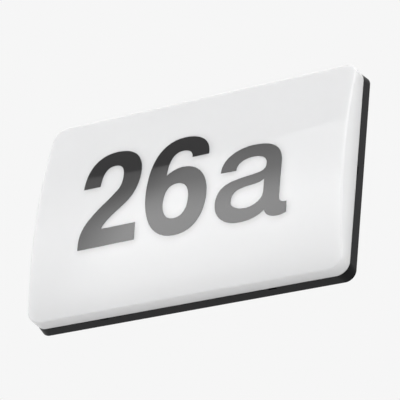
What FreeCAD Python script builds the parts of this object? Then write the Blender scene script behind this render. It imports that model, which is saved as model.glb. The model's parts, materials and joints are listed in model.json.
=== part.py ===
"""Illuminated house number sign: a shallow black housing on the wall, a white opal cover
with an arched face, and the light gear between them.

Millimetres.  X runs along the sign, to the right as seen from the front, and Z is up.
The wall is the plane Y = 0 and the sign stands out of it towards -Y.  A "depth" is the
distance out of the wall, so a point at depth d lies at Y = -d.  The origin is the centre
of the back face.
"""

import FreeCAD
import Part
import math
import os
from FreeCAD import Vector

# ---- housing ---------------------------------------------------------------------------
WIDTH = 300.0               # outline on the wall
HEIGHT = 196.0
HOUSING_CORNER = 9.2        # corner radius on the wall
HOUSING_DEPTH = 10.5        # wall to the rim that the cover lands on
RIM_INSET = 0.5             # the sides lean in by this much up to the rim
RIM_CORNER = 11.5           # corner radius at the rim
HOUSING_WALL = 2.5
HOUSING_FLOOR = 2.5
LEDGE_WIDTH = 5.0           # shelf along the foot of the wall, under the cover seal
LEDGE_DEPTH = 4.0
NOTCH_LENGTH = 8.0          # screwdriver notches in the rim, for prising the cover off
NOTCH_DEPTH = 1.7
NOTCH_REACH = 1.5
CATCH_SPREAD = 80.0         # notches and spring clips along the top and bottom sides

# ---- opal cover ------------------------------------------------------------------------
COVER_SIDE = 12.5           # rim to the edge of the face, at the top and bottom
FACE_BULGE = 11.0           # how far the middle of the face stands in front of its edges
COVER_DRAFT = 0.018         # lean of the side walls, mm per mm of depth
COVER_WALL = 2.5
FACE_EDGE_RADIUS = 1.5
PARTING_GAP = 0.2           # cover to rim
TONGUE_WALL = 1.6           # the skirt that goes down inside the rim
TONGUE_GAP = 0.4
BAND_HEIGHT = 3.5           # thick band where the skirt joins the side wall
BLADE_THICKNESS = 1.5       # ribs that push into the spring clips
BLADE_WIDTH = 3.6
BLADE_TIP_GAP = 1.0         # blade to the bottom of its clip

# ---- seals and cable entry -------------------------------------------------------------
SEAL_HEIGHT = 2.0
SEAL_CLEARANCE = 0.3
WALL_SEAL_INSET = 4.0
WALL_SEAL_WIDTH = 4.0
WALL_SEAL_DEPTH = 1.5
ENTRY_X = -70.0
ENTRY_RADIUS = 9.0
ENTRY_RECESS_DEPTH = 1.2
ENTRY_PAD_DEPTH = 3.5
ENTRY_PAD_MARGIN = 4.0
GROMMET_LIP = 2.2           # how far the grommet's flanges reach past the hole
GROMMET_LIP_HEIGHT = 1.5
GROMMET_NOSE = 4.0
GROMMET_NOSE_WALL = (2.6, 1.4)   # at its foot and at its tip
GROMMET_BACK_GAP = 0.2      # grommet to the wall
GROMMET_FIT = 0.1
CABLE_RADIUS = 4.0

# ---- wall screws -----------------------------------------------------------------------
WALL_SCREW_INSET = 18.0     # wall screws to the reflector screws, along X
WALL_SLOT_RADIUS = 2.5
WALL_SLOT_LENGTH = 10.0
WALL_SLOT_PAD = 3.5         # width of the raised pad round each slot
WALL_SLOT_PAD_DEPTH = 4.0
SCREWDRIVER_RADIUS = 7.5    # hole in the reflector over each wall screw

# ---- reflector tray --------------------------------------------------------------------
REFLECTOR_DEPTH = 7.5       # wall to the back of the sheet
REFLECTOR_SHEET = 1.0
REFLECTOR_MARGIN = 8.0      # sheet edge to the foot of the ledge
REFLECTOR_LIP = 3.5
REFLECTOR_CORNER = 5.0
REFLECTOR_SCREW_MARGIN = 6.0
BOSS_RADIUS = 3.6
PILOT_RADIUS = 1.25
PILOT_FLOOR = 1.0           # plastic left under a blind pilot hole
WINDOW_MARGIN = 2.0

# ---- small screws ----------------------------------------------------------------------
SCREW_RADIUS = 1.2
SCREW_CLEARANCE = 0.3
SCREW_HEAD_RADIUS = 2.8
SCREW_HEAD_HEIGHT = 1.9
SCREW_LENGTH = 4.5
SCREW_CROSS_LENGTH = 3.0
SCREW_CROSS_WIDTH = 0.7
SCREW_CROSS_DEPTH = 0.9
SCREW_TIP_SHARE = 0.6       # shares of the screw's own size
SCREW_POINT_SHARE = 0.4
SCREW_SHOULDER_SHARE = 0.5
SCREW_CROWN_SHARE = 0.7

# ---- light boards ----------------------------------------------------------------------
BOARD_END_MARGIN = 6.0      # board to the edge of the reflector
BOARD_EDGE_MARGIN = 13.0
BOARD_WINDOW_GAP = 1.5      # inner boards to the window of the fittings
BOARD_WIDTH = 12.0
BOARD_THICKNESS = 1.2
CHIP_COUNT = 12
CHIP_END_MARGIN = 18.0      # end of a board to the middle of its last chip
CHIP_LENGTH = 3.5
CHIP_WIDTH = 2.8
CHIP_HEIGHT = 0.8
CHIP_WELL = 0.3
CHIP_WELL_SHARE = 0.7       # size of the well, as a share of the chip
RIVET_CHIPS = 5             # each outer rivet is this many chip pitches from the middle
RIVET_RADIUS = 1.1
RIVET_HEAD_RADIUS = 2.3
RIVET_HEAD_HEIGHT = 0.8
RIVET_CROWN_SHARE = 0.75    # flat crown of a rivet head, as a share of the head
CLIP_RIVET_CROWN_SHARE = 0.7
RIVET_FIT = 0.1
RIVET_TAIL_RADIUS = 1.55    # the spread end behind the reflector
RIVET_TAIL_LENGTH = 0.8
PLUG_LENGTH = 6.0           # plug-in connectors on the boards
PLUG_WIDTH = 6.0
PLUG_HEIGHT = 3.0
PLUG_END_MARGIN = 7.0
PLUG_POLE_PITCH = 3.0

# ---- driver ----------------------------------------------------------------------------
DRIVER_LEFT = 6.0
DRIVER_LENGTH = 88.0
DRIVER_WIDTH = 31.0
DRIVER_HEIGHT = 9.0         # tub without the lid
DRIVER_WALL = 1.5
DRIVER_LID = 1.4
DRIVER_LID_LIP = 1.5
DRIVER_CORNER = 3.0
DRIVER_EAR_LENGTH = 7.0
DRIVER_EAR_WIDTH = 10.0
DRIVER_EAR_HEIGHT = 2.0
MODULE_SEAT_DEPTH = 4.0     # tops of the floor pads under the driver and the terminal block
PAD_RADIUS = 3.4
CIRCUIT_THICKNESS = 1.2
CIRCUIT_STANDOFF = 0.8
CIRCUIT_FOOT_RADIUS = 1.5
CIRCUIT_FOOT_SHARES = (0.4, 0.3)   # feet from the middle, as shares of the length and width
TRANSFORMER_SIZE = (15.0, 13.0, 4.8)
TRANSFORMER_WAIST_SHARES = (0.35, 0.55)
CAPACITOR_RADIUS = 2.2
CAPACITOR_LENGTH = 9.0
CAPACITOR_PLACES = ((-26.0, 5.5), (-26.0, -1.0), (26.0, -4.0))
INPUT_LEAD_Z = 8.5
OUTPUT_LEAD_Z = (8.0, 11.0)
OUTPUT_TURN = 9.0           # where the output leads turn up to their plug

# ---- terminal block --------------------------------------------------------------------
TERMINAL_X = -38.0
TERMINAL_LENGTH = 30.0
TERMINAL_WIDTH = 18.0
TERMINAL_HEIGHT = 11.0
TERMINAL_CORNER = 1.5
TERMINAL_POLE_Z = 4.6
TERMINAL_ENTRY_RADIUS = 1.9
TERMINAL_ENTRY_DEPTH = 7.5
TERMINAL_EAR_SPAN = 30.0
TERMINAL_EAR_LENGTH = 8.0
TERMINAL_EAR_HEIGHT = 2.5
TERMINAL_EAR_CORNER = 2.0
CLAMP_SIZE = (7.0, 4.4, 3.8)
CLAMP_SHEET = 0.6
CLAMP_LEAD_GAP = 1.0        # clamp to the end of the lead behind it
BUTTON_SIZE = 4.0
BUTTON_CLEARANCE = 0.3
BUTTON_PROUD = 1.6
BUTTON_SHANK = 2.0
BUTTON_TRAVEL = 1.5
BUTTON_GROOVE = (0.8, 0.5)  # width and depth of the screwdriver groove

# ---- leads and clips -------------------------------------------------------------------
LEAD_RADIUS = 0.8
LEAD_DEPTH = 9.9
LEAD_HOLE_CLEARANCE = 0.3
LEAD_BEND = 3.0
LEAD_INSERTION = 1.5
LEAD_FIT = 0.1              # lead to the hole of a plug or a clamp
LINK_SLACK = 2.0            # how far a link lead bows outwards between two boards
CLIP_SHEET = 0.4
CLIP_MARGIN = 0.7           # clip to the foot of the ledge
CLIP_LENGTH = 5.0           # along the blade
CLIP_GRIP_GAP = 0.3         # leaf to blade
CLIP_LEAF_HEIGHT = 4.6
CLIP_LIP = 1.2
CLIP_FOOT_WIDTH = 9.0
CLIP_TAIL = 7.0             # the foot runs this far inwards, to its rivet
CLIP_TAIL_WIDTH = 5.4

# ---- worked out from the sizes above ---------------------------------------------------
RIM_WIDTH = WIDTH - 2 * RIM_INSET
RIM_HEIGHT = HEIGHT - 2 * RIM_INSET
POCKET_WIDTH = RIM_WIDTH - 2 * HOUSING_WALL
POCKET_HEIGHT = RIM_HEIGHT - 2 * HOUSING_WALL
POCKET_CORNER = RIM_CORNER - HOUSING_WALL
WELL_WIDTH = POCKET_WIDTH - 2 * LEDGE_WIDTH
WELL_HEIGHT = POCKET_HEIGHT - 2 * LEDGE_WIDTH
WELL_CORNER = POCKET_CORNER - LEDGE_WIDTH
SEAL_TOP = LEDGE_DEPTH + SEAL_HEIGHT

COVER_REAR = HOUSING_DEPTH + PARTING_GAP
FACE_EDGE_DEPTH = HOUSING_DEPTH + COVER_SIDE
FACE_TOP_DEPTH = FACE_EDGE_DEPTH + FACE_BULGE
FACE_HALF_HEIGHT = RIM_HEIGHT / 2 - COVER_DRAFT * COVER_SIDE
FACE_ARC_RADIUS = (FACE_HALF_HEIGHT ** 2 + FACE_BULGE ** 2) / (2 * FACE_BULGE)
FACE_ARC_CENTRE = FACE_TOP_DEPTH - FACE_ARC_RADIUS
TONGUE_END = SEAL_TOP + SEAL_CLEARANCE
TONGUE_INSET = HOUSING_WALL + TONGUE_GAP
BAND_TOP = COVER_REAR + BAND_HEIGHT

REFLECTOR_WIDTH = WELL_WIDTH - 2 * REFLECTOR_MARGIN
REFLECTOR_HEIGHT = WELL_HEIGHT - 2 * REFLECTOR_MARGIN
REFLECTOR_FRONT = REFLECTOR_DEPTH + REFLECTOR_SHEET
REFLECTOR_SCREW_X = REFLECTOR_WIDTH / 2 - REFLECTOR_SCREW_MARGIN
REFLECTOR_SCREW_Z = REFLECTOR_HEIGHT / 2 - REFLECTOR_SCREW_MARGIN
WINDOW_WIDTH = max(DRIVER_WIDTH, TERMINAL_EAR_SPAN) + 2 * WINDOW_MARGIN
BOARD_LENGTH = REFLECTOR_WIDTH - 2 * BOARD_END_MARGIN
BOARD_INNER_Z = WINDOW_WIDTH / 2 + BOARD_WINDOW_GAP + BOARD_WIDTH / 2
BOARD_OUTER_Z = REFLECTOR_HEIGHT / 2 - BOARD_EDGE_MARGIN - BOARD_WIDTH / 2
CHIP_PITCH = (BOARD_LENGTH - 2 * CHIP_END_MARGIN) / (CHIP_COUNT - 1)
RIVET_SPREAD = RIVET_CHIPS * CHIP_PITCH
PLUG_X = BOARD_LENGTH / 2 - PLUG_END_MARGIN
WALL_SCREW_X = REFLECTOR_SCREW_X - WALL_SCREW_INSET
WALL_SCREW_Z = (BOARD_INNER_Z + BOARD_OUTER_Z) / 2
BOARD_FRONT = REFLECTOR_FRONT + BOARD_THICKNESS
PLUG_LEAD_DEPTH = BOARD_FRONT + PLUG_HEIGHT / 2
BOARD_ROWS = {
    "top": BOARD_OUTER_Z,
    "upper": BOARD_INNER_Z,
    "lower": -BOARD_INNER_Z,
    "bottom": -BOARD_OUTER_Z,
}
DRIVER_MIDDLE_X = DRIVER_LEFT + DRIVER_LENGTH / 2
DRIVER_RIM = MODULE_SEAT_DEPTH + DRIVER_HEIGHT
CIRCUIT_DEPTH = MODULE_SEAT_DEPTH + DRIVER_WALL + CIRCUIT_STANDOFF
CIRCUIT_FRONT = CIRCUIT_DEPTH + CIRCUIT_THICKNESS
DRIVER_EAR_X = DRIVER_LENGTH / 2 + DRIVER_EAR_LENGTH / 2
TERMINAL_TOP = MODULE_SEAT_DEPTH + TERMINAL_HEIGHT
TERMINAL_SCREW_Z = (TERMINAL_WIDTH / 2 + TERMINAL_EAR_SPAN / 2) / 2

OVERRUN = 1.0               # how far a cutting shape runs past the face that it opens
HALF_TURN = 180


# ---- building blocks -------------------------------------------------------------------
def at(x, depth, z):
    return Vector(x, -depth, z)


def rounded_outline(width, height, radius, depth):
    """Closed wire: a rounded rectangle centred on the Y axis at the given depth."""
    a = width / 2
    b = height / 2
    k = radius * (1 - math.sqrt(0.5))
    corners = (
        (at(a, depth, b - radius), at(a - k, depth, b - k), at(a - radius, depth, b)),
        (at(radius - a, depth, b), at(k - a, depth, b - k), at(-a, depth, b - radius)),
        (at(-a, depth, radius - b), at(k - a, depth, k - b), at(radius - a, depth, -b)),
        (at(a - radius, depth, -b), at(a - k, depth, k - b), at(a, depth, radius - b)),
    )
    edges = []
    for index, corner in enumerate(corners):
        edges.append(Part.Arc(*corner).toShape())
        following = corners[(index + 1) % len(corners)]
        edges.append(Part.LineSegment(corner[2], following[0]).toShape())
    return Part.Wire(edges)


def slab(width, height, radius, near, far):
    """Straight rounded block between two depths."""
    face = Part.Face(rounded_outline(width, height, radius, near))
    return face.extrude(Vector(0, near - far, 0))


def tapered_slab(near_size, far_size):
    """Rounded block between two outlines, each given as (width, height, radius, depth)."""
    return Part.makeLoft([rounded_outline(*near_size), rounded_outline(*far_size)], True, True)


def ring(width, height, radius, thickness, near, far):
    outer = slab(width, height, radius, near, far)
    inner_radius = max(radius - thickness, 0.5)
    inner = slab(width - 2 * thickness, height - 2 * thickness, inner_radius, near - OVERRUN, far + OVERRUN)
    return outer.cut(inner)


def rod(x, z, radius, near, far):
    """Cylinder that stands out of the wall between two depths."""
    return Part.makeCylinder(radius, far - near, at(x, near, z), Vector(0, -1, 0))


def block(x, z, length, width, near, far):
    """Box centred on (x, z), length along X and width along Z."""
    corner = Vector(x - length / 2, -far, z - width / 2)
    return Part.makeBox(length, far - near, width, corner)


def slot(x, z, radius, length, near, far):
    """Round-ended slot along X; length is end to end."""
    half = length / 2 - radius
    middle = block(x, z, 2 * half, 2 * radius, near, far)
    return middle.fuse([rod(x - half, z, radius, near, far), rod(x + half, z, radius, near, far)])


def turned(x, z, profile):
    """Solid of revolution about the line through (x, z) square to the wall.

    The profile is a list of (radius, depth) corners.
    """
    points = [Vector(x + radius, -depth, z) for radius, depth in profile]
    wire = Part.makePolygon(points + points[:1])
    return Part.Face(wire).revolve(Vector(x, 0, z), Vector(0, 1, 0), 2 * HALF_TURN)


def group(shapes):
    return Part.makeCompound(list(shapes))


def fused(shapes):
    first = shapes[0]
    return first.fuse(shapes[1:]).removeSplitter()


def tube_along(points, radius, bend):
    """Round lead along straight runs joined by tangent arcs."""
    edges = []
    start = points[0]
    for previous, corner, following in zip(points, points[1:], points[2:]):
        inward = (previous - corner).normalize()
        outward = (following - corner).normalize()
        half_turn = (math.pi - inward.getAngle(outward)) / 2
        setback = bend * math.tan(half_turn)
        arc_start = corner + inward * setback
        arc_end = corner + outward * setback
        bisector = (inward + outward).normalize()
        centre = corner + bisector * (bend / math.cos(half_turn))
        edges.append(Part.LineSegment(start, arc_start).toShape())
        edges.append(Part.Arc(arc_start, centre - bisector * bend, arc_end).toShape())
        start = arc_end
    edges.append(Part.LineSegment(start, points[-1]).toShape())
    path = Part.Wire(edges)
    direction = points[1] - points[0]
    section = Part.Wire([Part.makeCircle(radius, points[0], direction)])
    return path.makePipeShell([section], True, False)


def catch_places():
    """Where the cover is held: (turn about Y in degrees, x, z) with the side at its foot."""
    places = [(0, WELL_WIDTH / 2, 0), (HALF_TURN, -WELL_WIDTH / 2, 0)]
    for x in (-CATCH_SPREAD, CATCH_SPREAD):
        places.append((-HALF_TURN / 2, x, WELL_HEIGHT / 2))
        places.append((HALF_TURN / 2, x, -WELL_HEIGHT / 2))
    return places


def at_each_catch(shape):
    """Copies of a shape that was made with local X pointing outwards from the ledge's foot."""
    copies = []
    for angle, x, z in catch_places():
        copy = shape.copy()
        copy.rotate(Vector(0, 0, 0), Vector(0, 1, 0), angle)
        copy.translate(Vector(x, 0, z))
        copies.append(copy)
    return copies


def wall_screw_places():
    return [(x, z) for x in (-WALL_SCREW_X, WALL_SCREW_X) for z in (-WALL_SCREW_Z, WALL_SCREW_Z)]


def reflector_screw_places():
    return [(x, z) for x in (-REFLECTOR_SCREW_X, 0, REFLECTOR_SCREW_X)
            for z in (-REFLECTOR_SCREW_Z, REFLECTOR_SCREW_Z)]


def module_screw_places():
    """Floor pads that carry the driver and the terminal block."""
    driver = [(DRIVER_MIDDLE_X + side * DRIVER_EAR_X, 0) for side in (-1, 1)]
    terminal = [(TERMINAL_X, side * TERMINAL_SCREW_Z) for side in (-1, 1)]
    return driver + terminal


# ---- housing ---------------------------------------------------------------------------
def rear_housing():
    shell = tapered_slab((WIDTH, HEIGHT, HOUSING_CORNER, 0),
                         (RIM_WIDTH, RIM_HEIGHT, RIM_CORNER, HOUSING_DEPTH))
    pocket = slab(POCKET_WIDTH, POCKET_HEIGHT, POCKET_CORNER, LEDGE_DEPTH, HOUSING_DEPTH + OVERRUN)
    well = slab(WELL_WIDTH, WELL_HEIGHT, WELL_CORNER, HOUSING_FLOOR, HOUSING_DEPTH + OVERRUN)
    shell = shell.cut([pocket, well])
    raised = [rod(x, z, BOSS_RADIUS, HOUSING_FLOOR, REFLECTOR_DEPTH) for x, z in reflector_screw_places()]
    raised += [rod(x, z, PAD_RADIUS, HOUSING_FLOOR, MODULE_SEAT_DEPTH) for x, z in module_screw_places()]
    for x, z in wall_screw_places():
        raised.append(slot(x, z, WALL_SLOT_RADIUS + WALL_SLOT_PAD,
                           WALL_SLOT_LENGTH + 2 * WALL_SLOT_PAD, HOUSING_FLOOR, WALL_SLOT_PAD_DEPTH))
    raised.append(rod(ENTRY_X, 0, ENTRY_RADIUS + ENTRY_PAD_MARGIN, HOUSING_FLOOR, ENTRY_PAD_DEPTH))
    shell = shell.fuse(raised)
    openings = [slot(x, z, WALL_SLOT_RADIUS, WALL_SLOT_LENGTH, -OVERRUN, WALL_SLOT_PAD_DEPTH + OVERRUN)
                for x, z in wall_screw_places()]
    openings += [rod(x, z, PILOT_RADIUS, PILOT_FLOOR, REFLECTOR_DEPTH + OVERRUN)
                 for x, z in reflector_screw_places()]
    openings += [rod(x, z, PILOT_RADIUS, PILOT_FLOOR, MODULE_SEAT_DEPTH + OVERRUN)
                 for x, z in module_screw_places()]
    openings += [rod(ENTRY_X, 0, ENTRY_RADIUS, -OVERRUN, ENTRY_PAD_DEPTH + OVERRUN),
                 rod(ENTRY_X, 0, ENTRY_RADIUS + GROMMET_LIP + SEAL_CLEARANCE, -OVERRUN, ENTRY_RECESS_DEPTH)]
    openings.append(wall_seal_ring(-OVERRUN))
    openings += pry_notches()
    openings += [rod(0, 0, PILOT_RADIUS, PILOT_FLOOR, HOUSING_FLOOR + OVERRUN).translated(Vector(x, 0, z))
                 for x, z in clip_rivet_places()]
    return shell.cut(openings).removeSplitter()


def pry_notches():
    """Shallow slots in the outer edge of the rim, one beside each spring clip."""
    rim_from_foot = LEDGE_WIDTH + HOUSING_WALL
    reach = NOTCH_REACH + OVERRUN
    notch = block(rim_from_foot - NOTCH_REACH + reach / 2, 0, reach, NOTCH_LENGTH,
                  HOUSING_DEPTH - NOTCH_DEPTH, HOUSING_DEPTH + OVERRUN)
    return at_each_catch(notch)


def wall_seal_ring(near):
    return ring(WIDTH - 2 * WALL_SEAL_INSET, HEIGHT - 2 * WALL_SEAL_INSET,
                HOUSING_CORNER - WALL_SEAL_INSET, WALL_SEAL_WIDTH, near, WALL_SEAL_DEPTH)


def wall_seal():
    """Foam strip in the groove of the back face."""
    return wall_seal_ring(0)


def cover_seal():
    """Silicone ring on the ledge, which the skirt of the cover presses on."""
    width = POCKET_WIDTH - 2 * SEAL_CLEARANCE
    height = POCKET_HEIGHT - 2 * SEAL_CLEARANCE
    return ring(width, height, POCKET_CORNER - SEAL_CLEARANCE, LEDGE_WIDTH - 2 * SEAL_CLEARANCE,
                LEDGE_DEPTH, SEAL_TOP)


def cable_grommet():
    """Rubber grommet: a flange each side of the floor and a tapered nose."""
    lip = ENTRY_RADIUS + GROMMET_LIP
    neck = ENTRY_RADIUS - GROMMET_FIT
    foot_wall, tip_wall = GROMMET_NOSE_WALL
    lip_top = ENTRY_PAD_DEPTH + GROMMET_LIP_HEIGHT
    profile = [
        (CABLE_RADIUS, GROMMET_BACK_GAP), (lip, GROMMET_BACK_GAP), (lip, ENTRY_RECESS_DEPTH),
        (neck, ENTRY_RECESS_DEPTH), (neck, ENTRY_PAD_DEPTH), (lip, ENTRY_PAD_DEPTH),
        (lip - GROMMET_LIP_HEIGHT / 2, lip_top), (CABLE_RADIUS + foot_wall, lip_top),
        (CABLE_RADIUS + tip_wall, lip_top + GROMMET_NOSE), (CABLE_RADIUS, lip_top + GROMMET_NOSE),
    ]
    return turned(ENTRY_X, 0, profile)


# ---- spring clips ----------------------------------------------------------------------
def cover_spring_clip():
    """Fork of spring steel, open towards the front; local X points outwards."""
    half_gap = BLADE_THICKNESS / 2 + CLIP_GRIP_GAP
    base = HOUSING_FLOOR
    top = base + CLIP_SHEET + CLIP_LEAF_HEIGHT
    outer_x = -CLIP_MARGIN
    fold = CLIP_SHEET * math.tan(math.pi / 8)
    foot = block(outer_x - CLIP_LENGTH / 2, 0, CLIP_LENGTH, CLIP_FOOT_WIDTH, base, base + CLIP_SHEET)
    tail = block(outer_x - CLIP_LENGTH - CLIP_TAIL / 2, 0, CLIP_TAIL, CLIP_TAIL_WIDTH,
                 base, base + CLIP_SHEET)
    leaves = []
    for side in (-1, 1):
        corners = [
            (half_gap, base), (half_gap, top), (half_gap + CLIP_LIP, top + CLIP_LIP),
            (half_gap + CLIP_LIP + CLIP_SHEET, top + CLIP_LIP - fold),
            (half_gap + CLIP_SHEET, top - fold), (half_gap + CLIP_SHEET, base),
        ]
        points = [Vector(outer_x - CLIP_LENGTH, -depth, side * z) for z, depth in corners]
        face = Part.Face(Part.makePolygon(points + points[:1]))
        leaves.append(face.extrude(Vector(CLIP_LENGTH, 0, 0)))
    hole = rod(outer_x - CLIP_LENGTH - CLIP_TAIL / 2, 0, PILOT_RADIUS, base - OVERRUN, base + OVERRUN)
    return fused([foot, tail] + leaves).cut(hole)


def cover_spring_clips():
    return group(at_each_catch(cover_spring_clip()))


def clip_rivet_places():
    local = Vector(-CLIP_MARGIN - CLIP_LENGTH - CLIP_TAIL / 2, 0, 0)
    places = []
    for angle, x, z in catch_places():
        spot = FreeCAD.Rotation(Vector(0, 1, 0), angle).multVec(local) + Vector(x, 0, z)
        places.append((spot.x, spot.z))
    return places


def clip_rivets():
    seat = HOUSING_FLOOR + CLIP_SHEET
    profile = [
        (0, PILOT_FLOOR + RIVET_FIT), (RIVET_RADIUS, PILOT_FLOOR + RIVET_FIT), (RIVET_RADIUS, seat),
        (RIVET_HEAD_RADIUS, seat),
        (RIVET_HEAD_RADIUS * CLIP_RIVET_CROWN_SHARE, seat + RIVET_HEAD_HEIGHT),
        (0, seat + RIVET_HEAD_HEIGHT),
    ]
    return group(turned(x, z, profile) for x, z in clip_rivet_places())


# ---- opal cover ------------------------------------------------------------------------
def cover_outline(depth, inset):
    """Outline of the cover's side wall at a depth, shrunk by an inset on every side."""
    lean = COVER_DRAFT * (depth - COVER_REAR) + inset
    return (RIM_WIDTH - 2 * lean, RIM_HEIGHT - 2 * lean, RIM_CORNER - lean, depth)


def arched_block(offset):
    """Everything behind the arched face; offset moves the arch back towards the wall."""
    radius = FACE_ARC_RADIUS - offset
    half = HEIGHT / 2 + OVERRUN
    drop = math.sqrt(radius ** 2 - half ** 2)
    left = -WIDTH
    low = at(left, FACE_ARC_CENTRE + drop, -half)
    high = at(left, FACE_ARC_CENTRE + drop, half)
    crown = at(left, FACE_ARC_CENTRE + radius, 0)
    edges = [
        Part.Arc(low, crown, high).toShape(),
        Part.LineSegment(high, at(left, -OVERRUN, half)).toShape(),
        Part.LineSegment(at(left, -OVERRUN, half), at(left, -OVERRUN, -half)).toShape(),
        Part.LineSegment(at(left, -OVERRUN, -half), low).toShape(),
    ]
    return Part.Face(Part.Wire(edges)).extrude(Vector(2 * WIDTH, 0, 0))


def face_edges(shape):
    """Edges round the arched face, which lies well in front of the rim."""
    found = []
    for edge in shape.Edges:
        middle = edge.valueAt((edge.FirstParameter + edge.LastParameter) / 2)
        if -middle.y > FACE_EDGE_DEPTH - OVERRUN and edge.Length > OVERRUN:
            found.append(edge)
    return found


def cover_blade():
    """Rib on the skirt that the spring clip grips; local X points outwards."""
    root = LEDGE_WIDTH - TONGUE_GAP - TONGUE_WALL / 2
    outer = -CLIP_MARGIN
    tall = block((outer - BLADE_WIDTH + root) / 2, 0, root - outer + BLADE_WIDTH, BLADE_THICKNESS,
                 SEAL_TOP + 2 * SEAL_CLEARANCE, BAND_TOP)
    tip_depth = HOUSING_FLOOR + CLIP_SHEET + BLADE_TIP_GAP
    tip = block(outer - BLADE_WIDTH / 2, 0, BLADE_WIDTH, BLADE_THICKNESS, tip_depth, BAND_TOP)
    return tall.fuse(tip)


def opal_cover():
    outside = tapered_slab(cover_outline(COVER_REAR, 0), cover_outline(FACE_TOP_DEPTH + OVERRUN, 0))
    outside = outside.common(arched_block(0))
    outside = outside.makeFillet(FACE_EDGE_RADIUS, face_edges(outside))
    skirt = slab(RIM_WIDTH - 2 * TONGUE_INSET, RIM_HEIGHT - 2 * TONGUE_INSET,
                 RIM_CORNER - TONGUE_INSET, TONGUE_END, BAND_TOP)
    inner = TONGUE_INSET + TONGUE_WALL
    mouth = slab(RIM_WIDTH - 2 * inner, RIM_HEIGHT - 2 * inner, RIM_CORNER - inner,
                 TONGUE_END - OVERRUN, BAND_TOP + OVERRUN)
    hollow = tapered_slab(cover_outline(BAND_TOP, COVER_WALL),
                          cover_outline(FACE_TOP_DEPTH + OVERRUN, COVER_WALL))
    hollow = hollow.common(arched_block(COVER_WALL))
    shell = outside.fuse(skirt).cut([mouth, hollow])
    return shell.fuse(at_each_catch(cover_blade())).removeSplitter()


# ---- reflector tray --------------------------------------------------------------------
def fittings_window():
    """One opening over the cable entry, the terminal block and the driver."""
    left = ENTRY_X - ENTRY_RADIUS - ENTRY_PAD_MARGIN - WINDOW_MARGIN
    right = DRIVER_MIDDLE_X + DRIVER_LENGTH / 2 + DRIVER_EAR_LENGTH + WINDOW_MARGIN
    return block((left + right) / 2, 0, right - left, WINDOW_WIDTH, REFLECTOR_DEPTH - OVERRUN,
                 REFLECTOR_FRONT + OVERRUN)


def rivet_places():
    return [(x, z) for z in BOARD_ROWS.values() for x in (-RIVET_SPREAD, 0, RIVET_SPREAD)]


def reflector_tray():
    """White sheet with a turned-up lip, screwed to the bosses of the housing."""
    tray = slab(REFLECTOR_WIDTH, REFLECTOR_HEIGHT, REFLECTOR_CORNER, REFLECTOR_DEPTH,
                REFLECTOR_FRONT + REFLECTOR_LIP)
    dish = slab(REFLECTOR_WIDTH - 2 * REFLECTOR_SHEET, REFLECTOR_HEIGHT - 2 * REFLECTOR_SHEET,
                REFLECTOR_CORNER - REFLECTOR_SHEET, REFLECTOR_FRONT, REFLECTOR_FRONT + REFLECTOR_LIP + OVERRUN)
    back = REFLECTOR_DEPTH - OVERRUN
    front = REFLECTOR_FRONT + OVERRUN
    holes = [rod(x, z, SCREW_RADIUS + SCREW_CLEARANCE, back, front) for x, z in reflector_screw_places()]
    holes += [rod(x, z, SCREWDRIVER_RADIUS, back, front) for x, z in wall_screw_places()]
    holes += [rod(x, z, RIVET_RADIUS + RIVET_FIT, back, front) for x, z in rivet_places()]
    return tray.cut([dish, fittings_window()] + holes)


def screw(x, z, seat):
    """Pan-head screw with a cross recess; seat is the depth under its head."""
    crown = seat + SCREW_HEAD_HEIGHT
    profile = [
        (0, seat - SCREW_LENGTH), (SCREW_RADIUS * SCREW_TIP_SHARE, seat - SCREW_LENGTH),
        (SCREW_RADIUS, seat - SCREW_LENGTH + SCREW_RADIUS * SCREW_POINT_SHARE), (SCREW_RADIUS, seat),
        (SCREW_HEAD_RADIUS, seat),
        (SCREW_HEAD_RADIUS, seat + SCREW_HEAD_HEIGHT * SCREW_SHOULDER_SHARE),
        (SCREW_HEAD_RADIUS * SCREW_CROWN_SHARE, crown), (0, crown),
    ]
    bars = [
        block(x, z, SCREW_CROSS_LENGTH, SCREW_CROSS_WIDTH, crown - SCREW_CROSS_DEPTH, crown + OVERRUN),
        block(x, z, SCREW_CROSS_WIDTH, SCREW_CROSS_LENGTH, crown - SCREW_CROSS_DEPTH, crown + OVERRUN),
    ]
    return turned(x, z, profile).cut(bars)


def reflector_screws():
    return group(screw(x, z, REFLECTOR_FRONT) for x, z in reflector_screw_places())


# ---- light boards ----------------------------------------------------------------------
def led_board(z):
    board = block(0, z, BOARD_LENGTH, BOARD_WIDTH, REFLECTOR_FRONT, BOARD_FRONT)
    holes = [rod(x, z, RIVET_RADIUS + RIVET_FIT, REFLECTOR_FRONT - OVERRUN, BOARD_FRONT + OVERRUN)
             for x in (-RIVET_SPREAD, 0, RIVET_SPREAD)]
    return board.cut(holes)


def led_chips(z):
    chips = []
    for index in range(CHIP_COUNT):
        x = (index - (CHIP_COUNT - 1) / 2) * CHIP_PITCH
        chip = block(x, z, CHIP_LENGTH, CHIP_WIDTH, BOARD_FRONT, BOARD_FRONT + CHIP_HEIGHT)
        well = block(x, z, CHIP_LENGTH * CHIP_WELL_SHARE, CHIP_WIDTH * CHIP_WELL_SHARE,
                     BOARD_FRONT + CHIP_HEIGHT - CHIP_WELL, BOARD_FRONT + CHIP_HEIGHT + OVERRUN)
        chips.append(chip.cut(well))
    return group(chips)


def board_rivets():
    tail = REFLECTOR_DEPTH - RIVET_TAIL_LENGTH
    profile = [
        (0, tail), (RIVET_TAIL_RADIUS, tail), (RIVET_TAIL_RADIUS, REFLECTOR_DEPTH),
        (RIVET_RADIUS, REFLECTOR_DEPTH), (RIVET_RADIUS, BOARD_FRONT), (RIVET_HEAD_RADIUS, BOARD_FRONT),
        (RIVET_HEAD_RADIUS * RIVET_CROWN_SHARE, BOARD_FRONT + RIVET_HEAD_HEIGHT),
        (0, BOARD_FRONT + RIVET_HEAD_HEIGHT),
    ]
    return group(turned(x, z, profile) for x, z in rivet_places())


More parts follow.
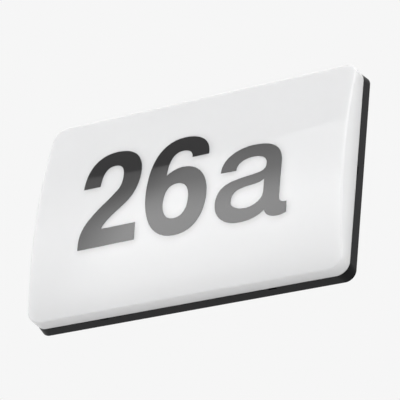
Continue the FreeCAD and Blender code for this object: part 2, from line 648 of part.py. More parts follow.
def board_plugs():
    """Plug-in connectors: one on the left end of each board, one for the supply."""
    places = [(-PLUG_X, z) for z in BOARD_ROWS.values()] + [(PLUG_X, BOARD_INNER_Z)]
    plugs = []
    for x, z in places:
        shape = block(x, z, PLUG_LENGTH, PLUG_WIDTH, BOARD_FRONT, BOARD_FRONT + PLUG_HEIGHT)
        mouths = [lead_mouth(x + side * PLUG_POLE_PITCH / 2, z) for side in (-1, 1)]
        plugs.append(shape.cut(mouths))
    return group(plugs)


def lead_mouth(x, z):
    """Hole right through a plug, for the lead that goes in from above or below."""
    radius = LEAD_RADIUS + LEAD_FIT
    start = at(x, PLUG_LEAD_DEPTH, z - PLUG_WIDTH / 2 - OVERRUN)
    return Part.makeCylinder(radius, PLUG_WIDTH + 2 * OVERRUN, start, Vector(0, 0, 1))


def link_leads():
    """Pairs of short leads that join each board to the next."""
    rows = sorted(BOARD_ROWS.values())
    leads = []
    for low, high in zip(rows, rows[1:]):
        for side in (-1, 1):
            x = -PLUG_X + side * PLUG_POLE_PITCH / 2
            start = low + PLUG_WIDTH / 2 - LEAD_INSERTION
            end = high - PLUG_WIDTH / 2 + LEAD_INSERTION
            quarter = (end - start) / 4
            points = [
                at(x, PLUG_LEAD_DEPTH, start), at(x, PLUG_LEAD_DEPTH, start + quarter),
                at(x - LINK_SLACK, PLUG_LEAD_DEPTH, (start + end) / 2),
                at(x, PLUG_LEAD_DEPTH, end - quarter), at(x, PLUG_LEAD_DEPTH, end),
            ]
            leads.append(tube_along(points, LEAD_RADIUS, LEAD_BEND))
    return group(leads)


# ---- driver ----------------------------------------------------------------------------
def moved_to_driver(shape):
    return shape.translated(Vector(DRIVER_MIDDLE_X, 0, 0))


def driver_case():
    """Tub with two screw ears; its leads pass through holes in the end walls."""
    tub = slab(DRIVER_LENGTH, DRIVER_WIDTH, DRIVER_CORNER, MODULE_SEAT_DEPTH, DRIVER_RIM)
    hollow = slab(DRIVER_LENGTH - 2 * DRIVER_WALL, DRIVER_WIDTH - 2 * DRIVER_WALL,
                  DRIVER_CORNER - DRIVER_WALL, MODULE_SEAT_DEPTH + DRIVER_WALL, DRIVER_RIM + OVERRUN)
    ears = []
    holes = []
    for side in (-1, 1):
        ear_x = side * (DRIVER_EAR_X - DRIVER_WALL / 2)
        ears.append(block(ear_x, 0, DRIVER_EAR_LENGTH + DRIVER_WALL, DRIVER_EAR_WIDTH,
                          MODULE_SEAT_DEPTH, MODULE_SEAT_DEPTH + DRIVER_EAR_HEIGHT))
        holes.append(rod(side * DRIVER_EAR_X, 0, SCREW_RADIUS + SCREW_CLEARANCE,
                         MODULE_SEAT_DEPTH - OVERRUN, DRIVER_RIM))
    lead_radius = LEAD_RADIUS + LEAD_HOLE_CLEARANCE
    reach = DRIVER_WALL + 2 * OVERRUN
    for z in (-INPUT_LEAD_Z, INPUT_LEAD_Z):
        holes.append(Part.makeCylinder(lead_radius, reach, at(-DRIVER_LENGTH / 2 - OVERRUN, LEAD_DEPTH, z),
                                       Vector(1, 0, 0)))
    for z in OUTPUT_LEAD_Z:
        holes.append(Part.makeCylinder(lead_radius, reach,
                                       at(DRIVER_LENGTH / 2 - DRIVER_WALL - OVERRUN, LEAD_DEPTH, z),
                                       Vector(1, 0, 0)))
    return moved_to_driver(tub.cut(hollow).fuse(ears).cut(holes).removeSplitter())


def driver_lid():
    plate = slab(DRIVER_LENGTH, DRIVER_WIDTH, DRIVER_CORNER, DRIVER_RIM, DRIVER_RIM + DRIVER_LID)
    inset = DRIVER_WALL + SEAL_CLEARANCE
    lip = ring(DRIVER_LENGTH - 2 * inset, DRIVER_WIDTH - 2 * inset, DRIVER_CORNER - DRIVER_WALL,
               DRIVER_LID, DRIVER_RIM - DRIVER_LID_LIP, DRIVER_RIM)
    return moved_to_driver(plate.fuse(lip).removeSplitter())


def driver_circuit_board():
    length = DRIVER_LENGTH - 2 * DRIVER_WALL - 2 * SEAL_CLEARANCE
    width = DRIVER_WIDTH - 2 * DRIVER_WALL - 2 * SEAL_CLEARANCE
    board = slab(length, width, DRIVER_CORNER - DRIVER_WALL, CIRCUIT_DEPTH, CIRCUIT_FRONT)
    foot_x, foot_z = length * CIRCUIT_FOOT_SHARES[0], width * CIRCUIT_FOOT_SHARES[1]
    feet = [rod(x, z, CIRCUIT_FOOT_RADIUS, MODULE_SEAT_DEPTH + DRIVER_WALL, CIRCUIT_DEPTH)
            for x in (-foot_x, foot_x) for z in (-foot_z, foot_z)]
    return moved_to_driver(board.fuse(feet).removeSplitter())


def driver_transformer():
    """Ferrite core of two halves with the winding former between them."""
    length, width, height = TRANSFORMER_SIZE
    core = block(0, 0, length, width, CIRCUIT_FRONT, CIRCUIT_FRONT + height)
    waist_length, waist_width = length * TRANSFORMER_WAIST_SHARES[0], width * TRANSFORMER_WAIST_SHARES[1]
    waists = [block(side * length / 2, 0, waist_length, waist_width, CIRCUIT_FRONT - OVERRUN,
                    CIRCUIT_FRONT + height + OVERRUN) for side in (-1, 1)]
    return moved_to_driver(core.cut(waists))


def driver_capacitors():
    """Electrolytic capacitors lying on the board."""
    cans = []
    for x, z in CAPACITOR_PLACES:
        start = at(x - CAPACITOR_LENGTH / 2, CIRCUIT_FRONT + CAPACITOR_RADIUS, z)
        can = Part.makeCylinder(CAPACITOR_RADIUS, CAPACITOR_LENGTH, start, Vector(1, 0, 0))
        cans.append(moved_to_driver(can))
    return group(cans)


def module_screws():
    """Screws of the driver's ears and of the terminal block's ears."""
    places = module_screw_places()
    driver = [screw(x, z, MODULE_SEAT_DEPTH + DRIVER_EAR_HEIGHT) for x, z in places[:2]]
    terminal = [screw(x, z, MODULE_SEAT_DEPTH + TERMINAL_EAR_HEIGHT) for x, z in places[2:]]
    return group(driver + terminal)


# ---- terminal block --------------------------------------------------------------------
def pole_places():
    return {"live": TERMINAL_POLE_Z, "neutral": -TERMINAL_POLE_Z}


def clamp_pocket(z):
    length, width, height = (size + 2 * BUTTON_CLEARANCE for size in CLAMP_SIZE)
    middle = TERMINAL_ENTRY_DEPTH
    return block(TERMINAL_X, z, length, width, middle - height / 2, middle + height / 2)


def terminal_body():
    body = slab(TERMINAL_LENGTH, TERMINAL_WIDTH, TERMINAL_CORNER, MODULE_SEAT_DEPTH, TERMINAL_TOP)
    ears = slab(TERMINAL_EAR_LENGTH, TERMINAL_EAR_SPAN, TERMINAL_EAR_CORNER, MODULE_SEAT_DEPTH,
                MODULE_SEAT_DEPTH + TERMINAL_EAR_HEIGHT)
    body = body.fuse(ears).translated(Vector(TERMINAL_X, 0, 0))
    well_size = BUTTON_SIZE + 2 * BUTTON_CLEARANCE
    well_floor = TERMINAL_TOP - BUTTON_SHANK - BUTTON_TRAVEL - BUTTON_CLEARANCE
    half = TERMINAL_LENGTH / 2
    cuts = []
    for z in pole_places().values():
        cuts.append(clamp_pocket(z))
        cuts.append(block(TERMINAL_X, z, well_size, well_size, well_floor, TERMINAL_TOP + OVERRUN))
        cuts.append(Part.makeCylinder(TERMINAL_ENTRY_RADIUS, half, at(TERMINAL_X - half - OVERRUN,
                                      TERMINAL_ENTRY_DEPTH, z), Vector(1, 0, 0)))
        cuts.append(Part.makeCylinder(LEAD_RADIUS + LEAD_FIT, half, at(TERMINAL_X + OVERRUN,
                                      TERMINAL_ENTRY_DEPTH, z), Vector(1, 0, 0)))
    for side in (-1, 1):
        cuts.append(rod(TERMINAL_X, side * TERMINAL_SCREW_Z, SCREW_RADIUS + SCREW_CLEARANCE,
                        MODULE_SEAT_DEPTH - OVERRUN, TERMINAL_TOP))
    return body.cut(cuts).removeSplitter()


def terminal_clamps():
    """Folded brass sleeves, one in each pole."""
    length, width, height = CLAMP_SIZE
    near = TERMINAL_ENTRY_DEPTH - height / 2
    far = TERMINAL_ENTRY_DEPTH + height / 2
    clamps = []
    for z in pole_places().values():
        sleeve = block(TERMINAL_X, z, length, width, near, far)
        bore = block(TERMINAL_X, z, length + 2 * OVERRUN, width - 2 * CLAMP_SHEET, near + CLAMP_SHEET,
                     far - CLAMP_SHEET)
        clamps.append(sleeve.cut(bore))
    return group(clamps)


def terminal_button(z):
    """Push button that opens one clamp, with a screwdriver groove across its top."""
    back = TERMINAL_TOP - BUTTON_SHANK
    front = TERMINAL_TOP + BUTTON_PROUD
    button = block(TERMINAL_X, z, BUTTON_SIZE, BUTTON_SIZE, back, front)
    groove_width, groove_depth = BUTTON_GROOVE
    groove = block(TERMINAL_X, z, BUTTON_SIZE + OVERRUN, groove_width, front - groove_depth, front + OVERRUN)
    return button.cut(groove)


# ---- leads -----------------------------------------------------------------------------
def mains_leads():
    """From the terminal block's clamps to the driver."""
    start_x = TERMINAL_X + CLAMP_SIZE[0] / 2 + CLAMP_LEAD_GAP
    exit_x = TERMINAL_X + TERMINAL_LENGTH / 2
    wall_x = DRIVER_LEFT
    run = (wall_x - exit_x) / 3
    leads = []
    for side in (-1, 1):
        points = [
            at(start_x, TERMINAL_ENTRY_DEPTH, side * TERMINAL_POLE_Z),
            at(exit_x + run, TERMINAL_ENTRY_DEPTH, side * TERMINAL_POLE_Z),
            at(exit_x + 2 * run, LEAD_DEPTH, side * INPUT_LEAD_Z),
            at(wall_x + DRIVER_WALL + LEAD_INSERTION, LEAD_DEPTH, side * INPUT_LEAD_Z),
        ]
        leads.append(tube_along(points, LEAD_RADIUS, LEAD_BEND))
    return group(leads)


def output_leads():
    """From the driver to the plug on the upper board."""
    wall_x = DRIVER_LEFT + DRIVER_LENGTH
    end_z = BOARD_INNER_Z - PLUG_WIDTH / 2 + LEAD_INSERTION
    leads = []
    for start_z, side in zip(OUTPUT_LEAD_Z, (1, -1)):
        end_x = PLUG_X + side * PLUG_POLE_PITCH / 2
        points = [
            at(wall_x - DRIVER_WALL - LEAD_INSERTION, LEAD_DEPTH, start_z),
            at(end_x - OUTPUT_TURN, LEAD_DEPTH, start_z),
            at(end_x, PLUG_LEAD_DEPTH, start_z + OUTPUT_TURN / 2),
            at(end_x, PLUG_LEAD_DEPTH, end_z),
        ]
        leads.append(tube_along(points, LEAD_RADIUS, LEAD_BEND))
    return group(leads)


# ---- every piece, by name --------------------------------------------------------------
def pieces():
    named = {
        "rear_housing": rear_housing(),
        "wall_seal": wall_seal(),
        "cover_seal": cover_seal(),
        "cable_grommet": cable_grommet(),
        "cover_spring_clips": cover_spring_clips(),
        "clip_rivets": clip_rivets(),
        "opal_cover": opal_cover(),
        "reflector_tray": reflector_tray(),
        "reflector_screws": reflector_screws(),
        "board_rivets": board_rivets(),
        "board_plugs": board_plugs(),
        "link_leads": link_leads(),
        "driver_case": driver_case(),
        "driver_lid": driver_lid(),
        "driver_circuit_board": driver_circuit_board(),
        "driver_transformer": driver_transformer(),
        "driver_capacitors": driver_capacitors(),
        "module_screws": module_screws(),
        "terminal_body": terminal_body(),
        "terminal_clamps": terminal_clamps(),
        "mains_leads": mains_leads(),
        "output_leads": output_leads(),
    }
    for row, z in BOARD_ROWS.items():
        named["led_board_" + row] = led_board(z)
        named["led_chips_" + row] = led_chips(z)
    for pole, z in pole_places().items():
        named["terminal_button_" + pole] = terminal_button(z)
    return named


def main():
    os.makedirs("parts", exist_ok=True)
    for name, shape in pieces().items():
        shape.exportStep(os.path.join("parts", name + ".step"))
        print(name, len(shape.Solids), "solids", round(shape.Volume, 1), "mm3", shape.isValid())


main()
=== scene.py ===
"""Illuminated house number sign: the finishes, the number film and the studio.

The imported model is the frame.  This file dresses it: a smooth opal cover, the number film
that follows its arched face, the light chips, the leads, and a material for every piece.
"""

import json
import math

import bmesh
import bpy
from bpy.props import FloatProperty, FloatVectorProperty, IntProperty, PointerProperty
from mathutils import Matrix, Vector


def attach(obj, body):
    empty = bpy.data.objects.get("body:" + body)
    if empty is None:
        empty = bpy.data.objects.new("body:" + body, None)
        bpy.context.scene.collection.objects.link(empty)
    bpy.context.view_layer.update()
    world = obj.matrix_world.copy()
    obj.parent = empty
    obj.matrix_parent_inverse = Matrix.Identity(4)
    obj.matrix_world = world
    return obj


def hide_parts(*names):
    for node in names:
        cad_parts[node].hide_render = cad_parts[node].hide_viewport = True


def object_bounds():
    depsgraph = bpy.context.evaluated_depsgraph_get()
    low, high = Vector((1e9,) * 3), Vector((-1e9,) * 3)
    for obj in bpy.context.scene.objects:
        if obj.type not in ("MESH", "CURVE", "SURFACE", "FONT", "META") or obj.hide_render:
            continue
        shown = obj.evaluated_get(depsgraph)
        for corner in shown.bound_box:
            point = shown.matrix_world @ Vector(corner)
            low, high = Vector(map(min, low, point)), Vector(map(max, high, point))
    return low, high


bl_info = {
    "name": "Illuminated House Number Sign",
    "version": (1, 0, 0),
    "blender": (4, 5, 0),
    "location": "3D View > Sidebar > Number Sign",
    "description": "Opal cover, number film, light boards and finishes of a lit number sign",
    "category": "Add Mesh",
}

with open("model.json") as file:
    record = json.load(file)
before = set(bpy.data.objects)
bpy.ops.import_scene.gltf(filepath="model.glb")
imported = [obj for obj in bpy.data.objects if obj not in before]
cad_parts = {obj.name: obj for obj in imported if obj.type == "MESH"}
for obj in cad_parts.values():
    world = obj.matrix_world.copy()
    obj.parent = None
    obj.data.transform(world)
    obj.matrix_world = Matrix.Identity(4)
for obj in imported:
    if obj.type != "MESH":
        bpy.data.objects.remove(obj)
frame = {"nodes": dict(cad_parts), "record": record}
CAD_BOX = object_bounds()

MM = 0.001
WELD = 0.001 * MM            # points nearer than this become one

# ---- sizes that the pieces share with their solids, in millimetres ----
RIM_WIDTH = 299.0
RIM_HEIGHT = 195.0
RIM_CORNER = 11.5
COVER_REAR = 10.7
FACE_EDGE_DEPTH = 23.0
ARCH_AHEAD = 0.2             # the arch is measured this far in front of the face's edge
COVER_DRAFT = 0.018
COVER_WALL = 2.5
BAND_TOP = 14.2
TONGUE_END = 6.3
TONGUE_INSET = 2.9
TONGUE_WALL = 1.6
BLADE_THICKNESS = 1.5
BLADE_SPAN = (137.7, 145.8)
BLADE_TIP_END = 141.3
BLADE_DEPTHS = (3.9, 6.6, 14.2)
BLADE_EDGE = 0.2
CATCH_SPREAD = 80.0
BOARD_ROWS = {"top": 63.0, "upper": 25.0, "lower": -25.0, "bottom": -63.0}
BOARD_FRONT = 9.7
CHIP_PITCH = 20.0
CHIP_COUNT = 12


# ---- settings a user would change ----
def length_setting(name, description, default, low, high):
    return FloatProperty(name=name, description=description, default=default * MM, min=low * MM,
                         max=high * MM, unit="LENGTH", precision=5)


def colour_setting(name, description, default):
    return FloatVectorProperty(name=name, description=description, subtype="COLOR", size=3,
                               default=default, min=0.0, max=1.0)


def level_setting(name, description, default):
    return FloatProperty(name=name, description=description, default=default, min=0.0)


def power_setting(name, spot, default):
    return FloatProperty(name=name, description="Power of the fill light " + spot, default=default,
                         min=0.0, unit="POWER")


class SignSizes(bpy.types.PropertyGroup):
    film_thickness: length_setting(
        "Film Thickness", "How far the number film stands on the face", 0.12, 0.02, 0.5)
    edge_radius: length_setting(
        "Face Edge Radius", "Rounding between the face and the sides of the cover", 1.5, 0.5, 3.0)
    side_steps: IntProperty(
        name="Face Steps", description="Strips that make up the arched face",
        default=92, min=16, max=200)


class SignColours(bpy.types.PropertyGroup):
    opal: colour_setting("Opal Cover", "Colour of the cover", (0.86, 0.86, 0.862))
    housing: colour_setting("Housing", "Colour of the rear housing", (0.0055, 0.0055, 0.0062))
    film: colour_setting("Number Film", "Colour of the number", (0.0095, 0.009, 0.0095))


class StageSettings(bpy.types.PropertyGroup):
    background: FloatProperty(
        name="Background", description="How pale the empty background shows, where 1 is white",
        default=0.922, min=0.0, max=1.0)
    sky_front: level_setting("Studio Front", "Light level of the studio before the sign", 0.2)
    sky_back: level_setting("Studio Back", "Light level of the studio behind the sign", 0.28)
    box_brightness: level_setting(
        "Soft Box", "Brightness of the soft box that mirrors in the face", 3.84)
    wall_level: level_setting("Studio Wall", "Brightness of the wall behind the soft box", 0.396)
    fill_front: power_setting("Front Fill", "before the sign", 159.0)
    fill_right: power_setting("Right Fill", "at the right", 123.0)
    fill_left: power_setting("Left Fill", "at the left", 110.0)
    fill_low: power_setting("Low Fill", "below", 5.5)


# ---- mesh helpers ----
def new_object(name, data):
    obj = bpy.data.objects.new(name, data)
    bpy.context.scene.collection.objects.link(obj)
    return obj


def smoothed(mesh, sharp_angle):
    """Shades a mesh smooth, but for edges sharper than an angle in degrees."""
    mesh.shade_smooth()
    mesh.set_sharp_from_angle(angle=math.radians(sharp_angle))
    return mesh


def cleaned(mesh, edge=0.0):
    """Welds a mesh, turns its faces outwards and breaks its edges by some millimetres."""
    work = bmesh.new()
    work.from_mesh(mesh)
    bmesh.ops.remove_doubles(work, verts=work.verts, dist=WELD)
    bmesh.ops.recalc_face_normals(work, faces=work.faces)
    if edge:
        bmesh.ops.bevel(work, geom=list(work.edges), offset=edge * MM, segments=2, profile=0.5,
                        affect="EDGES")
    work.to_mesh(mesh)
    work.free()
    return mesh


def plain_mesh(holder, name):
    """The mesh that a curve or modifiers give; the object that held them goes."""
    graph = bpy.context.evaluated_depsgraph_get()
    mesh = bpy.data.meshes.new_from_object(holder.evaluated_get(graph))
    mesh.name = name
    bpy.data.objects.remove(holder)
    return mesh


def curve_mesh(name, routes, kind, closed, **settings):
    """Mesh of a curve with one line along each route of (x, y, z) in millimetres."""
    curve = bpy.data.curves.new(name + "_line", "CURVE")
    for setting, value in settings.items():
        setattr(curve, setting, value)
    for route in routes:
        line = curve.splines.new(kind)
        line.points.add(len(route) - 1)
        for point, spot in zip(line.points, route):
            point.co = (*(c * MM for c in spot), 1.0)
        line.use_cyclic_u = closed
        if not closed:
            line.order_u = 3
            line.use_endpoint_u = True
    mesh = plain_mesh(new_object(name + "_line", curve), name)
    bpy.data.curves.remove(curve)
    return mesh


class Skin:
    """Collects rings of equal length and joins them."""

    def __init__(self):
        self.points = []
        self.faces = []
        self.rings = []

    def add(self, ring):
        start = len(self.points)
        self.points.extend(ring)
        indices = list(range(start, start + len(ring)))
        if self.rings:
            before = self.rings[-1]
            count = len(indices)
            for i in range(count):
                j = (i + 1) % count
                self.faces.append((before[i], before[j], indices[j], indices[i]))
        self.rings.append(indices)

    def add_body(self, rings):
        """A closed body of its own, with flat ends."""
        self.rings = []
        for ring in rings:
            self.add(ring)
        self.faces += [tuple(self.rings[0][::-1]), tuple(self.rings[-1])]

    def cap(self, indices, columns):
        """Closes a ring with a grid between its mirrored pairs; the outer rows stay whole."""
        half = len(indices) // 2
        pairs = list(zip(indices[:half], indices[half:][::-1]))
        rows = []
        for right, left in pairs:
            row = [right]
            inner_row = (right, left) not in (pairs[0], pairs[-1])
            for column in range(1, columns if inner_row else 1):
                row.append(len(self.points))
                self.points.append(self.points[right].lerp(self.points[left], column / columns))
            rows.append(row + [left])
        for above, below in zip(rows, rows[1:]):
            if len(above) != len(below):
                self.faces.append((*below, *above[::-1]))
                continue
            for i in range(len(above) - 1):
                self.faces.append((above[i], below[i], below[i + 1], above[i + 1]))

    def mesh(self, name, edge=0.0):
        """The collected faces as a clean mesh; the points are in millimetres."""
        mesh = bpy.data.meshes.new(name)
        mesh.from_pydata([tuple(c * MM for c in p) for p in self.points], [], self.faces)
        mesh.update()
        return cleaned(mesh, edge)


# ---- opal cover ----
CORNER_STEPS = 14
SMALLEST_CORNER = 0.6
FACE_COLUMNS = 150
EDGE_STEPS = 7               # strips round the outer edge of the face
EDGE_FOOT = 0.5              # a ring this far behind the rounded edge
FACE_SETBACKS = (1.2, 0.4)   # rings on the face, inside its rounded edge
INNER_EDGE_RADIUS = 0.8
INNER_EDGE_STEPS = 3
INNER_SETBACK = 0.6
SHELL_SHARP = 35             # degrees
BLADE_SHARP = 50
# From the side wall round the rear edge and the tongue to the inside: depths and insets.
REAR_ROUND = 0.35
TONGUE_ROUND = 0.3
TONGUE_INSIDE = TONGUE_INSET + TONGUE_WALL
REAR_RINGS = (
    (COVER_REAR + 1.5, 0.0), (COVER_REAR + REAR_ROUND, 0.0), (COVER_REAR + 0.1, 0.1),
    (COVER_REAR, REAR_ROUND), (COVER_REAR, TONGUE_INSET),
    (TONGUE_END + TONGUE_ROUND, TONGUE_INSET), (TONGUE_END, TONGUE_INSET + TONGUE_ROUND),
    (TONGUE_END, TONGUE_INSIDE - TONGUE_ROUND), (TONGUE_END + TONGUE_ROUND, TONGUE_INSIDE),
    (BAND_TOP, TONGUE_INSIDE))


def face_arc():
    """Radius of the arched face and the depth of its axis."""
    half = RIM_HEIGHT / 2 - COVER_DRAFT * (FACE_EDGE_DEPTH - COVER_REAR + ARCH_AHEAD)
    bulge = -CAD_BOX[0][1] / MM - FACE_EDGE_DEPTH
    radius = (half ** 2 + bulge ** 2) / (2 * bulge)
    return radius, FACE_EDGE_DEPTH + bulge - radius


FACE_RADIUS, FACE_AXIS = face_arc()


def face_depth(z, sink):
    """Depth of the face at a height, sunk by the film's thickness or by the wall's."""
    radius = FACE_RADIUS - sink
    return FACE_AXIS + math.sqrt(radius * radius - z * z)


def face_normal(z, sink):
    slope = z / (FACE_RADIUS - sink)
    return Vector((0.0, -math.sqrt(1 - slope * slope), slope))


def ring_points(inset, side_steps):
    """Rounded outline as ((x, z), outward direction), mirrored pairs at equal heights."""
    a = RIM_WIDTH / 2 - inset
    b = RIM_HEIGHT / 2 - inset
    r = max(RIM_CORNER - inset, SMALLEST_CORNER)

    def corner(turns, side):
        ways = [(math.cos(turn), math.sin(turn)) for turn in turns]
        return [((a - r + r * dx, side * (b - r) + r * dz), (dx, dz)) for dx, dz in ways]

    steps = range(CORNER_STEPS + 1)
    right = corner([math.pi / 2 * (1 - step / CORNER_STEPS) for step in steps], 1)
    right += [((a, (b - r) * (1 - 2 * step / side_steps)), (1.0, 0.0)) for step in range(1, side_steps)]
    right += corner([-math.pi / 2 * step / CORNER_STEPS for step in steps], -1)
    return right + [((-x, z), (-dx, dz)) for (x, z), (dx, dz) in reversed(right)]


def level_ring(inset, depth, side_steps):
    return [Vector((x, -depth, z)) for (x, z), _ in ring_points(inset, side_steps)]


def wall_inset(depth, inset):
    return inset + COVER_DRAFT * (depth - COVER_REAR)


def edge_rings(inset, sink, radius, side_steps, steps):
    """Rings that round the edge between the side wall and the arched face."""
    rings = [[] for _ in range(steps + 1)]
    for (x, z), (dx, dz) in ring_points(wall_inset(FACE_EDGE_DEPTH, inset), side_steps):
        extra = COVER_DRAFT * (face_depth(z, sink) - FACE_EDGE_DEPTH)
        corner = Vector((x - dx * extra, 0.0, z - dz * extra))
        corner.y = -face_depth(corner.z, sink)
        wall = Vector((dx, 0.0, dz))
        face = face_normal(corner.z, sink)
        centre = corner - (wall + face) * (radius / (1 + wall.dot(face)))
        angle = wall.angle(face)
        for step, ring in enumerate(rings):
            share = step / steps
            blend = wall * math.sin((1 - share) * angle) + face * math.sin(share * angle)
            ring.append(centre + blend / math.sin(angle) * radius)
    return rings


def sunk_ring(ring, amount, sink):
    """The last edge ring moved in over the face."""
    a = max(p.x for p in ring)
    b = max(p.z for p in ring)
    moved = []
    for p in ring:
        x = p.x * (a - amount) / a
        z = p.z * (b - amount) / b
        moved.append(Vector((x, -face_depth(z, sink), z)))
    return moved


def cover_skin(sizes):
    """Closed surface of the cover, from the middle of the face round to its inside."""
    steps = sizes.side_steps
    sink = sizes.film_thickness / MM
    skin = Skin()
    outer = edge_rings(0.0, sink, sizes.edge_radius / MM, steps, EDGE_STEPS)
    for setback in FACE_SETBACKS:
        skin.add(sunk_ring(outer[-1], setback, sink))
    for ring in reversed(outer):
        skin.add(ring)
    skin.add([Vector((p.x, p.y + EDGE_FOOT, p.z)) for p in outer[0]])
    for depth, inset in REAR_RINGS:
        skin.add(level_ring(inset if inset else wall_inset(depth, inset), depth, steps))
    skin.add(level_ring(wall_inset(BAND_TOP, COVER_WALL), BAND_TOP, steps))
    inner = edge_rings(COVER_WALL, COVER_WALL, INNER_EDGE_RADIUS, steps, INNER_EDGE_STEPS)
    for ring in inner:
        skin.add(ring)
    skin.add(sunk_ring(inner[-1], INNER_SETBACK, COVER_WALL))
    skin.cap(skin.rings[0], FACE_COLUMNS)
    skin.cap(skin.rings[-1], 1)
    return skin


def blade_mesh(name):
    """Ribs that push into the spring clips, each one closed L-shaped plate with broken edges."""
    tip, shelf, root = BLADE_DEPTHS
    near, far = BLADE_SPAN
    outline = ((near, tip), (BLADE_TIP_END, tip), (BLADE_TIP_END, shelf), (far, shelf),
               (far, root), (near, root))
    drop = (RIM_WIDTH - RIM_HEIGHT) / 2
    offsets = (-BLADE_THICKNESS / 2, BLADE_THICKNESS / 2)
    skin = Skin()
    for side in (-1, 1):
        skin.add_body([[(side * reach, -depth, offset) for reach, depth in outline]
                       for offset in offsets])
        for x in (-CATCH_SPREAD, CATCH_SPREAD):
            skin.add_body([[(x + offset, -depth, side * (reach - drop)) for reach, depth in outline]
                           for offset in offsets])
    return smoothed(skin.mesh(name, BLADE_EDGE), BLADE_SHARP)


# ---- number film ----
# Outlines in millimetres on the face.  Two numbers are a corner that a straight line leads
# to; six are a curve: its two handles and its end.
CHARACTERS = {
    "two": (
        ((-102.2, 19.6), (-102.2, 42.2, -91.8, 54.1, -74.5, 54.1),
         (-54.3, 54.1, -45.6, 41.1, -45.6, 26.0), (-45.6, 14.4, -49.7, 4.9, -57.5, -2.0),
         (-62.3, -6.5, -76.2, -15.0, -79.3, -23.1), (-45.4, -23.1), (-45.3, -39.4), (-101.4, -39.8),
         (-102.0, -29.9, -100.7, -20.0, -90.2, -9.6), (-83.8, -2.0, -75.8, 3.2, -69.3, 10.5),
         (-65.2, 14.3, -63.4, 17.9, -63.4, 25.0), (-63.4, 33.8, -66.5, 39.0, -74.2, 39.0),
         (-83.4, 39.0, -85.4, 28.8, -85.4, 19.6)),
    ),
    "six": (
        ((20.0, 30.6), (20.0, 46.3, 7.8, 53.9, -7.0, 53.9), (-32.1, 53.9, -37.9, 27.8, -37.9, 4.0),
         (-37.9, -19.1, -31.2, -42.7, -6.5, -42.7), (12.8, -42.7, 22.2, -28.0, 22.2, -9.5),
         (22.2, 8.1, 12.5, 22.3, -4.5, 22.3), (-10.0, 22.3, -15.4, 19.7, -19.3, 16.3),
         (-18.9, 26.3, -17.5, 39.4, -6.6, 39.4), (0.5, 39.4, 3.9, 35.4, 3.9, 30.5)),
        ((-8.2, 6.6), (-17.2, 6.6, -19.8, -2.2, -19.8, -11.0),
         (-19.8, -19.1, -16.4, -26.8, -7.8, -26.8), (1.1, -26.8, 4.6, -18.8, 4.6, -10.5),
         (4.6, -0.6, 1.1, 6.6, -8.2, 6.6)),
    ),
    "letter": (
        ((34.3, 7.0), (34.3, 21.7, 48.1, 29.4, 63.0, 29.4), (76.8, 29.4, 91.8, 25.5, 91.8, 6.0),
         (91.8, -26.0), (91.8, -31.2, 94.5, -31.6, 99.0, -31.6), (98.9, -41.5),
         (91.7, -44.7, 79.8, -43.9, 78.3, -35.6), (76.6, -37.3, 70.2, -42.9, 55.5, -42.9),
         (41.9, -42.9, 31.3, -35.2, 31.3, -22.0), (31.3, -8.5, 40.2, -3.8, 49.8, -2.4),
         (57.4, -0.6, 64.4, -0.7, 72.0, 0.9), (76.1, 2.4, 77.5, 4.1, 77.5, 8.0),
         (77.5, 15.5, 70.3, 17.4, 63.5, 17.4), (55.4, 17.4, 49.1, 13.3, 49.0, 6.7)),
        ((76.6, -18.0), (76.6, -26.3, 67.7, -30.8, 60.0, -30.8),
         (54.0, -30.8, 46.3, -27.8, 46.3, -22.5), (46.3, -13.8, 52.2, -11.7, 57.5, -11.0),
         (63.4, -9.3, 71.3, -10.8, 76.6, -6.6)),
    ),
}
CURVE_STEPS = 14
SAME_POINT = 0.01            # an outline that ends this near its start is closed
FILM_STRIP = 2.0
FILM_SUNK = 0.02             # how far the film's back lies in the face
FILM_SHARP = 40              # degrees


def outline_points(outline):
    """The outline as corners alone, its curves cut into short straight lines."""
    points = [outline[0]]
    for piece in outline[1:]:
        if len(piece) == 2:
            points.append(piece)
            continue
        controls = (points[-1], piece[:2], piece[2:4], piece[4:])
        for step in range(1, CURVE_STEPS + 1):
            t = step / CURVE_STEPS
            s = 1 - t
            weights = (s ** 3, 3 * s * s * t, 3 * s * t * t, t ** 3)
            points.append(tuple(sum(w * p[axis] for w, p in zip(weights, controls))
                                for axis in range(2)))
    if math.dist(points[0], points[-1]) < SAME_POINT:
        points.pop()
    return points


# Painted shadow of the film: the cover's colour is darkened around the film's outlines and shifted away
# from the light, standing in for the film's shadow in the plastic.
FILM_SHADOW_NAME = "film_veil"
FILM_SHADOW_DEPTH = 0.32            # how much of the glow the painted shadow takes off the colour under the middle of the film
FILM_SHADOW_SPREAD = 3.0
FILM_SHADOW_SHIFT = (1.4, -1.4)     # the painted shadow lies to the lower right, as the light comes from the upper left
FILM_SHADOW_START = 1.0             # how far in front of the face's edge the painted shadow begins
ROW_SHIFT = 0.013            # keeps the painted shadow's rows off the corners of the outlines
LAST_CELL = 1.001            # keeps a place inside the last row and column


def covered_spans(outlines, z):
    """Stretches of x that a character covers at a height."""
    crossings = []
    for outline in outlines:
        points = outline_points(outline)
        for (x0, z0), (x1, z1) in zip(points, points[1:] + points[:1]):
            if (z0 > z) != (z1 > z):
                crossings.append(x0 + (x1 - x0) * (z - z0) / (z1 - z0))
    crossings.sort()
    return list(zip(crossings[::2], crossings[1::2]))


def blurred(rows, sigma):
    """Rows of numbers, blurred along each row."""
    reach = int(3 * sigma)
    weights = [math.exp(-0.5 * (i / sigma) ** 2) for i in range(-reach, reach + 1)]
    total = sum(weights)
    result = []
    for row in rows:
        padded = [0.0] * reach + list(row) + [0.0] * reach
        result.append([sum(w * padded[i + j] for j, w in enumerate(weights)) / total
                       for i in range(len(row))])
    return result


